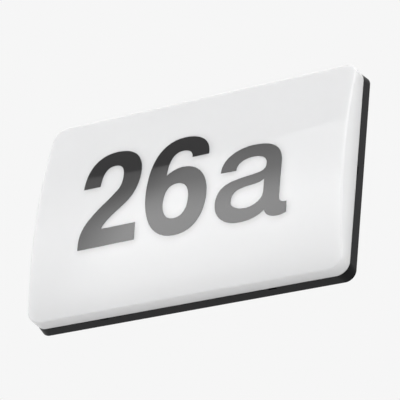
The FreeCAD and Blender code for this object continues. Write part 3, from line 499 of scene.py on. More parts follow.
def film_veil():
    """Painted shadow: how strongly the film shades the plastic around it, as a function of x and z."""
    half_x, half_z = int(RIM_WIDTH / 2), int(RIM_HEIGHT / 2)
    rows = []
    for z in range(-half_z, half_z + 1):
        row = [0.0] * (2 * half_x + 1)
        for outlines in CHARACTERS.values():
            for start, end in covered_spans(outlines, z + ROW_SHIFT):
                for x in range(math.floor(start), math.ceil(end) + 1):
                    row[x + half_x] += max(0.0, min(end, x + 0.5) - max(start, x - 0.5))
        rows.append(row)
    rows = blurred(rows, FILM_SHADOW_SPREAD)
    columns = blurred([list(column) for column in zip(*rows)], FILM_SHADOW_SPREAD)

    def cell(value, shift, half):
        """The cell below a place and how far the place lies in it."""
        spot = min(max(value - shift + half, 0.0), 2 * half - LAST_CELL)
        return int(spot), spot - int(spot)

    def film_shadow(x, z):
        i, a = cell(x, FILM_SHADOW_SHIFT[0], half_x)
        j, b = cell(z, FILM_SHADOW_SHIFT[1], half_z)
        return ((columns[i][j] * (1 - a) + columns[i + 1][j] * a) * (1 - b)
                + (columns[i][j + 1] * (1 - a) + columns[i + 1][j + 1] * a) * b)
    return film_shadow


def film_mesh(name, outlines, thickness):
    """The character bent over the face, as a thin film with a closed edge."""
    routes = [[(x, z, 0.0) for x, z in outline_points(outline)] for outline in outlines]
    mesh = curve_mesh(name, routes, "POLY", True, dimensions="2D", fill_mode="BOTH")
    work = bmesh.new()
    work.from_mesh(mesh)
    bmesh.ops.remove_doubles(work, verts=work.verts, dist=WELD / 2)
    low = min(v.co.y for v in work.verts) / MM
    high = max(v.co.y for v in work.verts) / MM
    strips = int((high - low) / FILM_STRIP)
    for index in range(1, strips):
        height = (low + (high - low) * index / strips) * MM
        bmesh.ops.bisect_plane(work, geom=list(work.verts) + list(work.edges) + list(work.faces),
                               plane_co=(0.0, height, 0.0), plane_no=(0.0, 1.0, 0.0), dist=WELD / 10)
    bmesh.ops.dissolve_degenerate(work, edges=work.edges, dist=WELD / 5)
    made = bmesh.ops.extrude_face_region(work, geom=list(work.faces), use_keep_orig=True)
    front = {v for v in made["geom"] if isinstance(v, bmesh.types.BMVert)}
    for vert in work.verts:
        x, z = vert.co.x / MM, vert.co.y / MM
        depth = face_depth(z, thickness)
        if vert in front:
            vert.co = Vector((x, -depth, z)) * MM + face_normal(z, thickness) * thickness * MM
        else:
            vert.co = Vector((x, -(depth - FILM_SUNK), z)) * MM
    bmesh.ops.recalc_face_normals(work, faces=work.faces)
    work.to_mesh(mesh)
    work.free()
    return smoothed(mesh, FILM_SHARP)


# ---- shader nodes ----
def feed(tree, target, inputs):
    """Sets a node's inputs by name or number: a socket is linked, anything else is a value."""
    for key, value in inputs.items():
        if isinstance(value, bpy.types.NodeSocket):
            tree.links.new(value, target.inputs[key])
        else:
            target.inputs[key].default_value = value


def add_node(tree, kind, inputs=None, **settings):
    """A node with its settings, then its inputs, as some settings change what inputs it has."""
    made = tree.nodes.new(kind)
    for setting, value in settings.items():
        setattr(made, setting, value)
    feed(tree, made, inputs or {})
    return made


def start_material(name, colour, roughness, more=None):
    """A material whose constants stand on the shader's own sockets."""
    material = bpy.data.materials.new(name)
    material.use_nodes = True
    material.diffuse_color = (*colour, 1.0)
    tree = material.node_tree
    shader = tree.nodes["Principled BSDF"]
    feed(tree, shader, {"Base Color": (*colour, 1.0), "Roughness": roughness, "IOR": 1.5,
                        **(more or {})})
    return material, tree, shader


def place(tree, stretch=(1.0, 1.0, 1.0), turn=(0.0, 0.0, 0.0)):
    """Where a point lies on the object, stretched and turned for a pattern."""
    spot = add_node(tree, "ShaderNodeTexCoord").outputs["Object"]
    return add_node(tree, "ShaderNodeMapping",
                    {"Vector": spot, "Scale": stretch, "Rotation": turn}).outputs["Vector"]


def along(tree, axis):
    """One of the object's own coordinates."""
    return add_node(tree, "ShaderNodeSeparateXYZ", {"Vector": place(tree)}).outputs[axis]


def noise(tree, vector, scale, detail=3.0, roughness=0.5):
    return add_node(tree, "ShaderNodeTexNoise", {"Vector": vector, "Scale": scale, "Detail": detail,
                                                 "Roughness": roughness}).outputs["Fac"]


def spread(tree, value, low, high, from_low=0.3, from_high=0.7):
    """Maps a pattern onto a range of plain values."""
    return add_node(tree, "ShaderNodeMapRange", {
        "Value": value, "From Min": from_low, "From Max": from_high,
        "To Min": low, "To Max": high}).outputs["Result"]


def calculated(tree, operation, one, two):
    return add_node(tree, "ShaderNodeMath", {0: one, 1: two}, operation=operation).outputs[0]


def multiplied(tree, one, two, factor=1.0):
    """Two colours multiplied, the second by a share."""
    return add_node(tree, "ShaderNodeMix", {"Factor": factor, "A": one, "B": two},
                    data_type="RGBA", blend_type="MULTIPLY").outputs["Result"]


def ramp(tree, value, stops):
    """A colour ramp through (place between 0 and 1, colour) stops."""
    made = add_node(tree, "ShaderNodeValToRGB", {"Fac": value})
    elements = made.color_ramp.elements
    for spot, _ in stops[1:-1]:
        elements.new(spot)
    for element, (spot, colour) in zip(elements, stops):
        element.position, element.color = spot, (*colour, 1.0)
    return made.outputs["Color"]


def toned(tree, value, colour, low, high):
    """A colour that a pattern makes darker and paler by two factors."""
    darker, paler = (tuple(min(1.0, c * factor) for c in colour) for factor in (low, high))
    return ramp(tree, value, ((0.3, darker), (0.7, paler)))


def profile(tree, value, marks):
    """A curve of brightness through (place, level) marks."""
    low, high = marks[0][0], marks[-1][0]
    stops = [((spot - low) / (high - low), (level,) * 3) for spot, level in marks]
    return ramp(tree, spread(tree, value, 0.0, 1.0, low, high), stops)


def bump(tree, shader, height, strength, distance):
    bumps = add_node(tree, "ShaderNodeBump", {"Strength": strength, "Distance": distance,
                                              "Height": height})
    tree.links.new(bumps.outputs["Normal"], shader.inputs["Normal"])


# ---- materials ----
# painted shade: how pale the cover's colour is at a depth; it is darkened towards the rim, standing in
# for the light that enters the face and leaks out less there
COVER_RIM_SHADE = ((10.0, 0.69), (17.0, 0.835), (24.0, 0.965), (28.0, 0.988), (34.0, 1.0))


def patterned(name, colour, roughness, cloud, tones, grain, relief, gloss=None, more=None,
              stretch=(1.0, 1.0, 1.0)):
    """A finish whose colour follows slow clouds, its gloss and surface a finer grain.

    cloud and grain are the scale, detail and roughness of a noise, tones the factors on the
    colour, relief the strength and distance of the bumps, gloss the range of the roughness
    where it isn't even, and more holds further inputs of the shader.
    """
    material, tree, shader = start_material(name, colour, roughness, more)
    grains = noise(tree, place(tree, stretch), *grain)
    feed(tree, shader, {"Base Color": toned(tree, noise(tree, place(tree), *cloud), colour, *tones)})
    if gloss:
        feed(tree, shader, {"Roughness": spread(tree, grains, *gloss)})
    bump(tree, shader, grains, *relief)
    return material


def moulded_plastic(name, colour, roughness, grain=900.0, depth=0.00004, contrast=0.06):
    """Plastic from a mould: fine grain, slow flow marks, slightly uneven gloss."""
    return patterned(name, colour, roughness, (18.0, 4.0), (1 - contrast, 1 + contrast),
                     (grain, 2.0, 0.6), (0.25, depth), (roughness - 0.05, roughness + 0.06))


def drawn_metal(name, colour, roughness, direction=(1.0, 60.0, 60.0)):
    """Metal with fine drawing lines and a little staining."""
    return patterned(name, colour, roughness, (120.0, 3.0), (0.82, 1.05), (40.0, 6.0, 0.7),
                     (0.15, 0.00003), (roughness - 0.08, roughness + 0.12), {"Metallic": 1.0},
                     direction)


def housing_plastic(colours):
    """Black moulding with spark-eroded grain."""
    return patterned("housing_plastic", tuple(colours.housing), 0.42, (9.0, 4.0), (0.85, 1.2),
                     (1400.0, 2.0, 0.6), (0.3, 0.00004), (0.34, 0.46),
                     {"Specular IOR Level": 0.1})


def number_film(colours):
    """Dark charcoal film with a hard gloss."""
    return patterned("number_film", tuple(colours.film), 0.05, (30.0, 3.0), (0.9, 1.12),
                     (700.0, 2.0), (0.04, 0.00002), (0.045, 0.06),
                     {"IOR": 1.6, "Specular IOR Level": 0.62})


def coated_sheet():
    """White baked paint with a light orange-peel."""
    return patterned("white_paint", (0.82, 0.82, 0.81), 0.38, (12.0, 3.0), (0.97, 1.02),
                     (420.0, 2.0), (0.2, 0.00008))


def chip_material(name, colour, roughness):
    return patterned(name, colour, roughness, (3000.0, 2.0), (0.88, 1.08), (3000.0, 2.0),
                     (0.2, 0.00003))


def lead_insulation(name, colour):
    """Soft plastic sleeve, its gloss uneven from handling."""
    material, tree, shader = start_material(name, colour, 0.35)
    vector = place(tree)
    grease = noise(tree, vector, 300.0)
    feed(tree, shader, {"Base Color": toned(tree, grease, colour, 0.85, 1.1),
                        "Roughness": spread(tree, grease, 0.28, 0.45)})
    bump(tree, shader, noise(tree, vector, 1200.0), 0.15, 0.00003)
    return material


def opal_plastic(colours):
    """Glossy opal moulding whose colour holds painted shade: a little darker towards the rim, standing
    in for light that spreads inside it and leaks out less there, and a painted shadow beside the film.
    """
    colour = tuple(colours.opal)
    material, tree, shader = start_material("opal_plastic", colour, 0.04)
    flow = noise(tree, place(tree, (0.5, 1.0, 1.4)), 7.0, 2.0)
    body = toned(tree, flow, colour, 0.99, 1.006)
    # painted shade: the colour darkens towards the rim, read from the depth
    depth = calculated(tree, "MULTIPLY", along(tree, "Y"), -1.0 / MM)
    rim_shaded = multiplied(tree, body, profile(tree, depth, COVER_RIM_SHADE))
    # painted shadow of the film: a stored attribute darkens the colour beside the film
    film_shadow = add_node(tree, "ShaderNodeAttribute", attribute_name=FILM_SHADOW_NAME).outputs["Fac"]
    kept = 1 - FILM_SHADOW_DEPTH
    feed(tree, shader, {
        "Base Color": multiplied(tree, rim_shaded, (kept, kept, kept, 1.0), film_shadow),
        "Roughness": spread(tree, noise(tree, place(tree), 260.0), 0.03, 0.05),
        "Subsurface Weight": 0.6,
        "Subsurface Radius": (1.0, 0.98, 0.95),
        "Subsurface Scale": 0.008})
    shader.subsurface_method = "RANDOM_WALK"
    bump(tree, shader, flow, 0.05, 0.0004)
    return material


def foam_rubber():
    material, tree, shader = start_material("foam", (0.03, 0.03, 0.03), 0.9)
    cells = add_node(tree, "ShaderNodeTexVoronoi", {"Vector": place(tree), "Scale": 1500.0})
    distance = cells.outputs["Distance"]
    shades = ((0.3, (0.012,) * 3), (0.7, (0.045,) * 3))
    feed(tree, shader, {"Base Color": ramp(tree, distance, shades)})
    bump(tree, shader, distance, 0.7, 0.0002)
    return material


def circuit_resist():
    """Green solder resist over tracks."""
    material, tree, shader = start_material("circuit_board", (0.02, 0.13, 0.05), 0.3)
    tracks = add_node(tree, "ShaderNodeTexBrick", {
        "Vector": place(tree, turn=(math.pi / 2, 0.0, 0.0)), "Scale": 160.0, "Mortar Size": 0.06,
        "Color1": (0.015, 0.12, 0.045, 1.0), "Color2": (0.02, 0.16, 0.06, 1.0),
        "Mortar": (0.008, 0.07, 0.028, 1.0)})
    feed(tree, shader, {"Base Color": tracks.outputs["Color"]})
    bump(tree, shader, noise(tree, place(tree), 500.0), 0.2, 0.00005)
    return material


TRACK_PITCH = 4.0            # millimetres between the lines on the light boards
TRACK_START = 1.0            # so that no line falls on a board's edge
WAVE_RADIANS = 20            # a wave texture of scale 1 turns by this much in a metre


def white_resist():
    """White solder resist with faint track lines along the board."""
    colour = (0.84, 0.84, 0.82)
    material, tree, shader = start_material("white_board", colour, 0.35)
    lines = add_node(tree, "ShaderNodeTexWave", {
        "Vector": place(tree), "Scale": 2 * math.pi / (WAVE_RADIANS * TRACK_PITCH * MM),
        "Phase Offset": -2 * math.pi * TRACK_START / TRACK_PITCH, "Distortion": 0.0},
        wave_type="BANDS", bands_direction="Z").outputs["Fac"]
    darker = tuple(c * 0.9 for c in colour)
    feed(tree, shader, {"Base Color": ramp(tree, lines, ((0.02, darker), (0.12, colour)))})
    bump(tree, shader, lines, 0.2, 0.00004)
    return material


# The looks of the moulded pieces and of the metal ones by slot: colour, roughness and what
# else differs from the usual.
MOULDED = {
    "silicone": ((0.42, 0.42, 0.4), 0.5, 300.0),
    "grommet_rubber": ((0.02, 0.02, 0.02), 0.7, 600.0, 0.00006),
    "plug_plastic": ((0.76, 0.73, 0.64), 0.4),
    "driver_plastic": ((0.64, 0.64, 0.62), 0.5),
    "ferrite": ((0.025, 0.023, 0.023), 0.6, 500.0, 0.00008, 0.2),
    "terminal_plastic": ((0.5, 0.5, 0.48), 0.45),
    "button_plastic": ((0.75, 0.16, 0.02), 0.35),
}
METALS = {
    "spring_steel": ((0.56, 0.56, 0.57), 0.3),
    "zinc_steel": ((0.62, 0.63, 0.64), 0.34, (1.0, 1.0, 1.0)),
    "brass": ((0.72, 0.5, 0.2), 0.3),
}


def plain_materials():
    """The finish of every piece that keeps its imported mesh, but for the housing, by slot."""
    finishes = {slot: moulded_plastic(slot, *look) for slot, look in MOULDED.items()}
    finishes.update((slot, drawn_metal(slot, *look)) for slot, look in METALS.items())
    finishes["foam"] = foam_rubber()
    finishes["white_paint"] = coated_sheet()
    finishes["white_board"] = white_resist()
    finishes["circuit_board"] = circuit_resist()
    finishes["capacitor_sleeve"] = lead_insulation("capacitor_sleeve", (0.012, 0.014, 0.045))
    return finishes


def coat(obj, material):
    obj.data.materials.clear()
    obj.data.materials.append(material)


# ---- light chips ----
CHIP_HALF_X = 1.75
CHIP_HALF_Z = 1.4
CHIP_HEIGHT = 0.8
CHIP_CUT = 0.25              # cut corners of the chip's frame
WELL_FLOOR = CHIP_HEIGHT - 0.3
DOME_SIDES = 12
# Rings as (share of the half size, what is taken off it, height over the board).
FRAME_RINGS = ((1.0, 0.0, 0.0), (1.0, 0.0, CHIP_HEIGHT * 0.85), (1.0, 0.12, CHIP_HEIGHT),
               (0.72, 0.0, CHIP_HEIGHT), (0.64, 0.0, WELL_FLOOR))
PHOSPHOR_RINGS = ((0.66, 0.0, WELL_FLOOR + 0.01), (0.5, 0.0, WELL_FLOOR + 0.1),
                  (0.2, 0.0, WELL_FLOOR + 0.14))


def cut_square(a, b):
    c = CHIP_CUT
    return ((a, b - c), (a, c - b), (a - c, -b), (c - a, -b), (-a, c - b), (-a, b - c),
            (c - a, b), (a - c, b))


def oval(a, b):
    turns = [2 * math.pi * step / DOME_SIDES for step in range(DOME_SIDES)]
    return [(a * math.cos(turn), b * math.sin(turn)) for turn in turns]


def chip_part(name, shape, rings):
    """Frame or phosphor of one chip, standing on the board at the origin."""
    skin = Skin()
    skin.add_body([[(x, -height, z) for x, z in shape(CHIP_HALF_X * share - less,
                                                      CHIP_HALF_Z * share - less)]
                   for share, less, height in rings])
    return new_object(name, skin.mesh(name))


def chip_row_tree(part, material):
    """Geometry Nodes: one chip part repeated along a board."""
    tree = bpy.data.node_groups.new("chip_row", "GeometryNodeTree")
    face = tree.interface
    face.new_socket("Geometry", in_out="INPUT", socket_type="NodeSocketGeometry")
    for label, kind in (("Chips", "NodeSocketInt"), ("Pitch", "NodeSocketFloat"),
                        ("Depth", "NodeSocketFloat"), ("Height", "NodeSocketFloat")):
        face.new_socket(label, in_out="INPUT", socket_type=kind)
    face.new_socket("Geometry", in_out="OUTPUT", socket_type="NodeSocketGeometry")
    given = add_node(tree, "NodeGroupInput").outputs
    gaps = calculated(tree, "SUBTRACT", given["Chips"], 1.0)
    length = calculated(tree, "MULTIPLY", gaps, given["Pitch"])
    start = add_node(tree, "ShaderNodeCombineXYZ", {
        "X": calculated(tree, "MULTIPLY", length, -0.5),
        "Y": calculated(tree, "MULTIPLY", given["Depth"], -1.0), "Z": given["Height"]})
    step = add_node(tree, "ShaderNodeCombineXYZ", {"X": given["Pitch"]})
    line = add_node(tree, "GeometryNodeMeshLine", {
        "Count": given["Chips"], "Start Location": start.outputs[0], "Offset": step.outputs[0]},
        mode="OFFSET")
    chip = add_node(tree, "GeometryNodeObjectInfo", {"Object": part})
    copies = add_node(tree, "GeometryNodeInstanceOnPoints", {
        "Points": line.outputs[0], "Instance": chip.outputs["Geometry"]})
    real = add_node(tree, "GeometryNodeRealizeInstances", {0: copies.outputs[0]})
    painted = add_node(tree, "GeometryNodeSetMaterial", {
        "Geometry": real.outputs[0], "Material": material})
    add_node(tree, "NodeGroupOutput", {0: painted.outputs[0]})
    return tree


def applied(name, tree, values):
    """Runs a node tree on an empty mesh and keeps the result as a plain mesh object."""
    holder = new_object(name + "_maker", bpy.data.meshes.new(name + "_maker"))
    modifier = holder.modifiers.new("maker", "NODES")
    modifier.node_group = tree
    for item in tree.interface.items_tree:
        if item.item_type == "SOCKET" and item.in_out == "INPUT" and item.name in values:
            modifier[item.identifier] = values[item.name]
    holder.update_tag()
    bpy.context.view_layer.update()
    mesh = plain_mesh(holder, name)
    if not mesh.polygons:
        raise RuntimeError("nothing was made for " + name)
    return new_object(name, mesh)


def chip_row(row, height, parts):
    values = {"Chips": CHIP_COUNT, "Pitch": CHIP_PITCH * MM, "Depth": BOARD_FRONT * MM,
              "Height": height * MM}
    return [applied("chips_%s_%s" % (label, row), chip_row_tree(part, material), values)
            for label, part, material in parts]


# ---- leads ----
LEAD_RADIUS = 0.8
LEAD_STEPS = 10              # divisions of each stretch of a lead's smooth line
LEAD_SHARP = 50              # degrees
PLUG_X = 121.0
PLUG_DEPTH = 11.2
PLUG_POLE = 1.5              # from the middle of a plug to a lead
PLUG_REACH = 1.5             # from the middle of a plug to the end of a lead in it
LINK_SLACK = 2.0
INPUT_X = (-33.5, -13.333, -3.667, 9.0)
INPUT_DEPTHS = (7.5, 9.9)
INPUT_SPREAD = (4.6, 8.5)
OUTPUT_X = 91.0
OUTPUT_DEPTH = 9.9
OUTPUT_HEIGHTS = (8.0, 11.0)
OUTPUT_TURN = 9.0


def link_routes():
    """Pairs of leads from each board's plug to the next, as points (x, y, z)."""
    rows = sorted(BOARD_ROWS.values())
    routes = []
    for low, high in zip(rows, rows[1:]):
        start, end = low + PLUG_REACH, high - PLUG_REACH
        quarter = (end - start) / 4
        heights = (start, start + quarter, (start + end) / 2, end - quarter, end)
        for side in (-1, 1):
            x = side * PLUG_POLE - PLUG_X
            routes.append([(x - slack, -PLUG_DEPTH, z)
                           for slack, z in zip((0.0, 0.0, LINK_SLACK, 0.0, 0.0), heights)])
    return routes


def mains_routes():
    """From the clamps of the terminal block into the driver."""
    (near, far), (low, high) = INPUT_DEPTHS, INPUT_SPREAD
    depths = (near, near, far, far)
    heights = (low, low, high, high)
    return [[(x, -depth, side * z) for x, depth, z in zip(INPUT_X, depths, heights)]
            for side in (-1, 1)]


def output_routes():
    """From the driver up to the plug on the upper board."""
    end_z = BOARD_ROWS["upper"] - PLUG_REACH
    routes = []
    for z, side in zip(OUTPUT_HEIGHTS, (1, -1)):
        x = PLUG_X + side * PLUG_POLE
        routes.append([(OUTPUT_X, -OUTPUT_DEPTH, z), (x - OUTPUT_TURN, -OUTPUT_DEPTH, z),
                       (x, -PLUG_DEPTH, z + OUTPUT_TURN / 2), (x, -PLUG_DEPTH, end_z)])
    return routes


def lead_bundle(name, routes):
    """Round leads along smooth lines, as one mesh."""
    mesh = curve_mesh(name, routes, "NURBS", False, dimensions="3D", bevel_depth=LEAD_RADIUS * MM,
                      bevel_resolution=3, resolution_u=LEAD_STEPS, use_fill_caps=True)
    return new_object(name, smoothed(cleaned(mesh), LEAD_SHARP))


# ---- operators ----
class SIGN_OT_cover(bpy.types.Operator):
    """Build the smooth opal cover and hide its solid"""
    bl_idname = "sign.cover"
    bl_label = "Opal Cover"

    def execute(self, context):
        skin = cover_skin(context.scene.sign_sizes)
        cover = new_object("opal_cover_shell", smoothed(skin.mesh("opal_cover_shell"), SHELL_SHARP))
        # the painted shadow of the film, stored on the cover's points
        film_shadow = film_veil()
        shade = cover.data.attributes.new(FILM_SHADOW_NAME, "FLOAT", "POINT")
        for vertex, value in zip(cover.data.vertices, shade.data):
            x, y, z = vertex.co / MM
            value.value = film_shadow(x, z) if -y > FACE_EDGE_DEPTH + FILM_SHADOW_START else 0.0
        blades = new_object("opal_cover_blades", blade_mesh("opal_cover_blades"))
        material = opal_plastic(context.scene.sign_colours)
        for piece in (cover, blades):
            coat(piece, material)
            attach(piece, "cover")
        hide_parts("opal_cover")
        return {"FINISHED"}


class SIGN_OT_number(bpy.types.Operator):
    """Lay the number film over the arched face"""
    bl_idname = "sign.number"
    bl_label = "Number Film"

    def execute(self, context):
        thickness = context.scene.sign_sizes.film_thickness / MM
        material = number_film(context.scene.sign_colours)
        for label, outlines in CHARACTERS.items():
            name = "number_film_" + label
            piece = new_object(name, film_mesh(name, outlines, thickness))
            coat(piece, material)
            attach(piece, "cover")
        return {"FINISHED"}


class SIGN_OT_housing(bpy.types.Operator):
    """Give the rear housing its black moulded finish"""
    bl_idname = "sign.housing"
    bl_label = "Rear Housing"

    def execute(self, context):
        coat(frame["nodes"]["rear_housing"], housing_plastic(context.scene.sign_colours))
        return {"FINISHED"}


class SIGN_OT_chips(bpy.types.Operator):
    """Set a row of light chips on each board"""
    bl_idname = "sign.chips"
    bl_label = "Light Chips"

    def execute(self, context):
        parts = [("frame", chip_part("chip_frame", cut_square, FRAME_RINGS),
                  chip_material("chip_frame", (0.8, 0.8, 0.78), 0.4)),
                 ("phosphor", chip_part("chip_phosphor", oval, PHOSPHOR_RINGS),
                  chip_material("chip_phosphor", (0.78, 0.55, 0.08), 0.3))]
        for row, height in BOARD_ROWS.items():
            pieces = chip_row(row, height, parts)
            for piece in pieces:
                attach(piece, "housing_and_fittings")
            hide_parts("led_chips_" + row)
        for _, part, _ in parts:
            bpy.data.objects.remove(part)
        return {"FINISHED"}


class SIGN_OT_leads(bpy.types.Operator):
    """Lay the leads between the boards, the driver and the terminal block"""
    bl_idname = "sign.leads"
    bl_label = "Leads"

    def execute(self, context):
        materials = {
            "red_insulation": lead_insulation("red_insulation", (0.4, 0.02, 0.015)),
            "brown_insulation": lead_insulation("brown_insulation", (0.09, 0.03, 0.012)),
        }
        for node, routes, slot in (("link_leads", link_routes(), "red_insulation"),
                                   ("mains_leads", mains_routes(), "brown_insulation"),
                                   ("output_leads", output_routes(), "red_insulation")):
            piece = lead_bundle("smooth_" + node, routes)
            coat(piece, materials[slot])
            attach(piece, "housing_and_fittings")
            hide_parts(node)
        return {"FINISHED"}


class SIGN_OT_fittings(bpy.types.Operator):
    """Finish the fittings, seals and fasteners"""
    bl_idname = "sign.fittings"
    bl_label = "Fittings"

    def execute(self, context):
        finishes = plain_materials()
        for entry in frame["record"]["subparts"]:
            finish = finishes.get(entry["material_slot"])
            if finish is not None:
                coat(frame["nodes"][entry["node"]], finish)
        return {"FINISHED"}


# ---- studio ----
# Directions are (azimuth, elevation) in degrees: from the front towards +X, then upwards.
CAMERA_DIRECTION = (32.842, -30.243)
CAMERA_ROLL = 6.44
CAMERA_DISTANCE = 2023.328   # millimetres
CAMERA_SIDEWAYS = (3.531, -6.57)
CAMERA_REACH = 50.0          # metres
FOCAL_PIXELS = 2394.918      # focal length in pixels of a 400 pixel wide image
IMAGE_WIDTH = 400
SENSOR = 36.0
SKY_UPWARDS = (0.08, 1.0, -0.5, 0.35)  # light below and above, and where it changes
SKY_BACKWARDS = (-0.2, 0.75)           # where it changes between the front and the back
FLOOR_HEIGHT = -2.4          # metres
FLOOR_SIZE = 44.0
FLOOR_LIT_SHARE = 0.12       # the share of the floor's look that comes from light and shadow
# The fill lamps: the lamp's setting, its direction, distance and size in metres.
LAMPS = (("fill_front", (18.0, 38.0), 4.5, 2.6), ("fill_right", (112.0, 12.0), 4.5, 2.6),
         ("fill_left", (-122.0, 18.0), 4.5, 2.6), ("fill_low", (8.0, -86.0), 2.1, 1.2))


def axes(direction):
    """Right, up and outward as the sign is seen from a direction."""
    azimuth, elevation = (math.radians(v) for v in direction)
    level = math.cos(elevation)
    outward = Vector((math.sin(azimuth) * level, -math.cos(azimuth) * level, math.sin(elevation)))
    right = Vector((math.cos(azimuth), math.sin(azimuth), 0.0))
    return right, outward.cross(right), outward


def pose(obj, location, right, up, outward):
    turn = Matrix((right, up, outward)).transposed().to_4x4()
    obj.matrix_world = Matrix.Translation(location) @ turn


def add_camera():
    level, upward, back = axes(CAMERA_DIRECTION)
    roll = math.radians(CAMERA_ROLL)
    right = level * math.cos(roll) + upward * math.sin(roll)
    up = upward * math.cos(roll) - level * math.sin(roll)
    data = bpy.data.cameras.new("studio_camera")
    data.sensor_width = SENSOR
    data.lens = FOCAL_PIXELS * SENSOR / IMAGE_WIDTH
    data.clip_end = CAMERA_REACH
    camera = new_object("studio_camera", data)
    spot = (back * CAMERA_DISTANCE - right * CAMERA_SIDEWAYS[0] - up * CAMERA_SIDEWAYS[1]) * MM
    pose(camera, spot, right, up, back)
    bpy.context.scene.camera = camera


def add_lamp(name, direction, distance, size, power):
    """A square soft light in a direction, aimed at the sign."""
    data = bpy.data.lights.new(name, "AREA")
    data.shape = "SQUARE"
    data.size = size
    data.energy = power
    lamp = new_object(name, data)
    lamp.location = axes(direction)[2] * distance
    lamp.rotation_euler = (-lamp.location).to_track_quat("-Z", "Y").to_euler()
    lamp.visible_camera = False
    lamp.visible_glossy = False


# The large soft box that mirrors in the face: its outline on a plane across the direction,
# in metres, and its brightness upwards and from left to right.  A dim wall stands behind it.
BOX_DIRECTION = (-26.0, 22.0)
BOX_DISTANCE = 1.8
BOX_OUTLINE = ((-0.62, -0.72), (0.5, -0.72), (0.5, 1.08), (0.2, 0.87), (-0.026, 0.677),
               (-0.125, 0.578), (-0.215, 0.5), (-0.32, 0.482), (-0.62, 0.5))
BOX_UPWARDS = ((-0.72, 0.0), (-0.45, 0.75), (-0.2, 1.0), (0.05, 0.98), (0.15, 0.87), (0.25, 0.68),
               (0.33, 0.54), (0.42, 0.48), (0.5, 0.42), (0.6, 0.4), (1.1, 0.34))
BOX_ACROSS = ((-0.6, 0.42), (-0.3, 0.53), (-0.222, 1.0), (-0.02, 0.95), (0.12, 0.85), (0.5, 0.6))
WALL_DISTANCE = 1.95
WALL_OUTLINE = ((-1.5, -1.2), (1.1, -1.2), (1.1, 1.9), (-1.5, 1.9))
WALL_UPWARDS = ((-1.2, 0.3), (-0.9, 0.6), (-0.2, 1.0), (1.9, 1.0))
WALL_ACROSS = ((-1.5, 1.0), (0.0, 1.0), (1.1, 1.0))


def flat_panel(name, corners, material):
    """A flat piece of the studio, given by corners in metres."""
    mesh = bpy.data.meshes.new(name)
    mesh.from_pydata(corners, [], [tuple(range(len(corners)))])
    panel = new_object(name, mesh)
    coat(panel, material)
    return panel


def add_glowing_panel(name, outline, distance, upwards, across, strength):
    """A flat panel across the soft box's direction, brighter in some places than in others."""
    material = bpy.data.materials.new(name)
    material.use_nodes = True
    tree = material.node_tree
    tree.nodes.clear()
    colour = multiplied(tree, profile(tree, along(tree, "Y"), upwards),
                        profile(tree, along(tree, "X"), across))
    glow = add_node(tree, "ShaderNodeEmission", {"Color": colour, "Strength": strength})
    add_node(tree, "ShaderNodeOutputMaterial", {"Surface": glow.outputs[0]})
    panel = flat_panel(name, [(u, v, 0.0) for u, v in outline], material)
    right, up, outward = axes(BOX_DIRECTION)
    pose(panel, outward * distance, right, up, outward)
    panel.visible_camera = False
    panel.visible_shadow = False
    return panel


def add_soft_box(strength, wall):
    """The soft box, and the dim studio wall that mirrors around it."""
    add_glowing_panel("soft_box", BOX_OUTLINE, BOX_DISTANCE, BOX_UPWARDS, BOX_ACROSS, strength)
    backing = add_glowing_panel("studio_wall", WALL_OUTLINE, WALL_DISTANCE, WALL_UPWARDS, WALL_ACROSS,
                                wall)
    backing.visible_diffuse = False


def seen_rays(tree):
    """1 for the rays that show the background: straight, mirrored or through glass."""
    path = add_node(tree, "ShaderNodeLightPath").outputs
    mirrored = calculated(tree, "MAXIMUM", path["Is Camera Ray"], path["Is Glossy Ray"])
    return calculated(tree, "MAXIMUM", mirrored, path["Is Transmission Ray"])


def mixed(tree, share, one, two):
    """Two shaders, the second by a share."""
    mix = add_node(tree, "ShaderNodeMixShader", {0: share, 1: one.outputs[0], 2: two.outputs[0]})
    return mix.outputs[0]


def add_world(background, front, back):
    """A studio that is dim below and in front, bright behind, and shows as a pale even field."""
    world = bpy.data.worlds.new("studio")
    world.use_nodes = True
    tree = world.node_tree
    tree.nodes.clear()
    level = calculated(tree, "MULTIPLY", spread(tree, along(tree, "Z"), *SKY_UPWARDS),
                       spread(tree, along(tree, "Y"), front, back, *SKY_BACKWARDS))
    lit = add_node(tree, "ShaderNodeBackground", {"Color": level})
    seen = add_node(tree, "ShaderNodeBackground", {"Color": (background,) * 3 + (1.0,)})
    add_node(tree, "ShaderNodeOutputWorld", {0: mixed(tree, seen_rays(tree), lit, seen)})
    bpy.context.scene.world = world


def add_floor(background):
    """A plain pale floor: mostly the background's own paleness, the rest lit and shadowed."""
    material, tree, shader = start_material("studio_floor", (0.8, 0.8, 0.8), 0.9)
    cloud = noise(tree, place(tree), 2.0)
    feed(tree, shader, {"Base Color": ramp(tree, cloud, ((0.3, (0.79,) * 3), (0.7, (0.81,) * 3)))})
    pale = add_node(tree, "ShaderNodeEmission", {"Color": (background,) * 3 + (1.0,)})
    share = calculated(tree, "MULTIPLY", seen_rays(tree), 1 - FLOOR_LIT_SHARE)
    feed(tree, tree.nodes["Material Output"], {"Surface": mixed(tree, share, shader, pale)})
    half = FLOOR_SIZE / 2
    flat_panel("studio_floor", [(x, y, FLOOR_HEIGHT) for x, y in (
        (-half, -half), (half, -half), (half, half), (-half, half))], material)


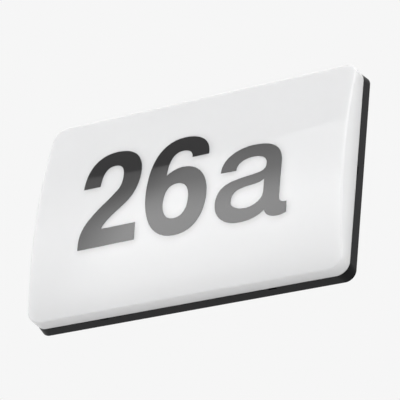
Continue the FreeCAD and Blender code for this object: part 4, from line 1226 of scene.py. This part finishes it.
class SIGN_OT_stage(bpy.types.Operator):
    """Set up the floor, the soft lights and the camera"""
    bl_idname = "sign.stage"
    bl_label = "Studio"

    def execute(self, context):
        settings = context.scene.sign_stage
        add_camera()
        add_world(settings.background, settings.sky_front, settings.sky_back)
        add_floor(settings.background)
        add_soft_box(settings.box_brightness, settings.wall_level)
        for name, direction, distance, size in LAMPS:
            add_lamp(name, direction, distance, size, getattr(settings, name))
        context.scene.view_settings.view_transform = "Standard"
        return {"FINISHED"}


class SIGN_PT_panel(bpy.types.Panel):
    """Lists the pieces of the sign"""
    bl_idname = "SIGN_PT_panel"
    bl_label = "Number Sign"
    bl_space_type = "VIEW_3D"
    bl_region_type = "UI"
    bl_category = "Number Sign"

    def draw(self, context):
        layout = self.layout
        scene = context.scene
        for group in (scene.sign_sizes, scene.sign_colours, scene.sign_stage):
            box = layout.box()
            for name in group.bl_rna.properties.keys():
                if name not in {"rna_type", "name"}:
                    box.prop(group, name)
        column = layout.column(align=True)
        for operator in OPERATORS:
            column.operator(operator.bl_idname)


OPERATORS = (SIGN_OT_cover, SIGN_OT_number, SIGN_OT_housing, SIGN_OT_chips, SIGN_OT_leads,
             SIGN_OT_fittings, SIGN_OT_stage)
CLASSES = (SignSizes, SignColours, StageSettings, *OPERATORS, SIGN_PT_panel)


def register():
    for entry in CLASSES:
        bpy.utils.register_class(entry)
    bpy.types.Scene.sign_sizes = PointerProperty(type=SignSizes)
    bpy.types.Scene.sign_colours = PointerProperty(type=SignColours)
    bpy.types.Scene.sign_stage = PointerProperty(type=StageSettings)


def unregister():
    del bpy.types.Scene.sign_stage
    del bpy.types.Scene.sign_colours
    del bpy.types.Scene.sign_sizes
    for entry in reversed(CLASSES):
        bpy.utils.unregister_class(entry)


def main():
    register()
    bpy.ops.sign.cover()
    bpy.ops.sign.number()
    bpy.ops.sign.housing()
    bpy.ops.sign.chips()
    bpy.ops.sign.leads()
    bpy.ops.sign.fittings()
    bpy.ops.sign.stage()


if __name__ == "__main__":
    main()
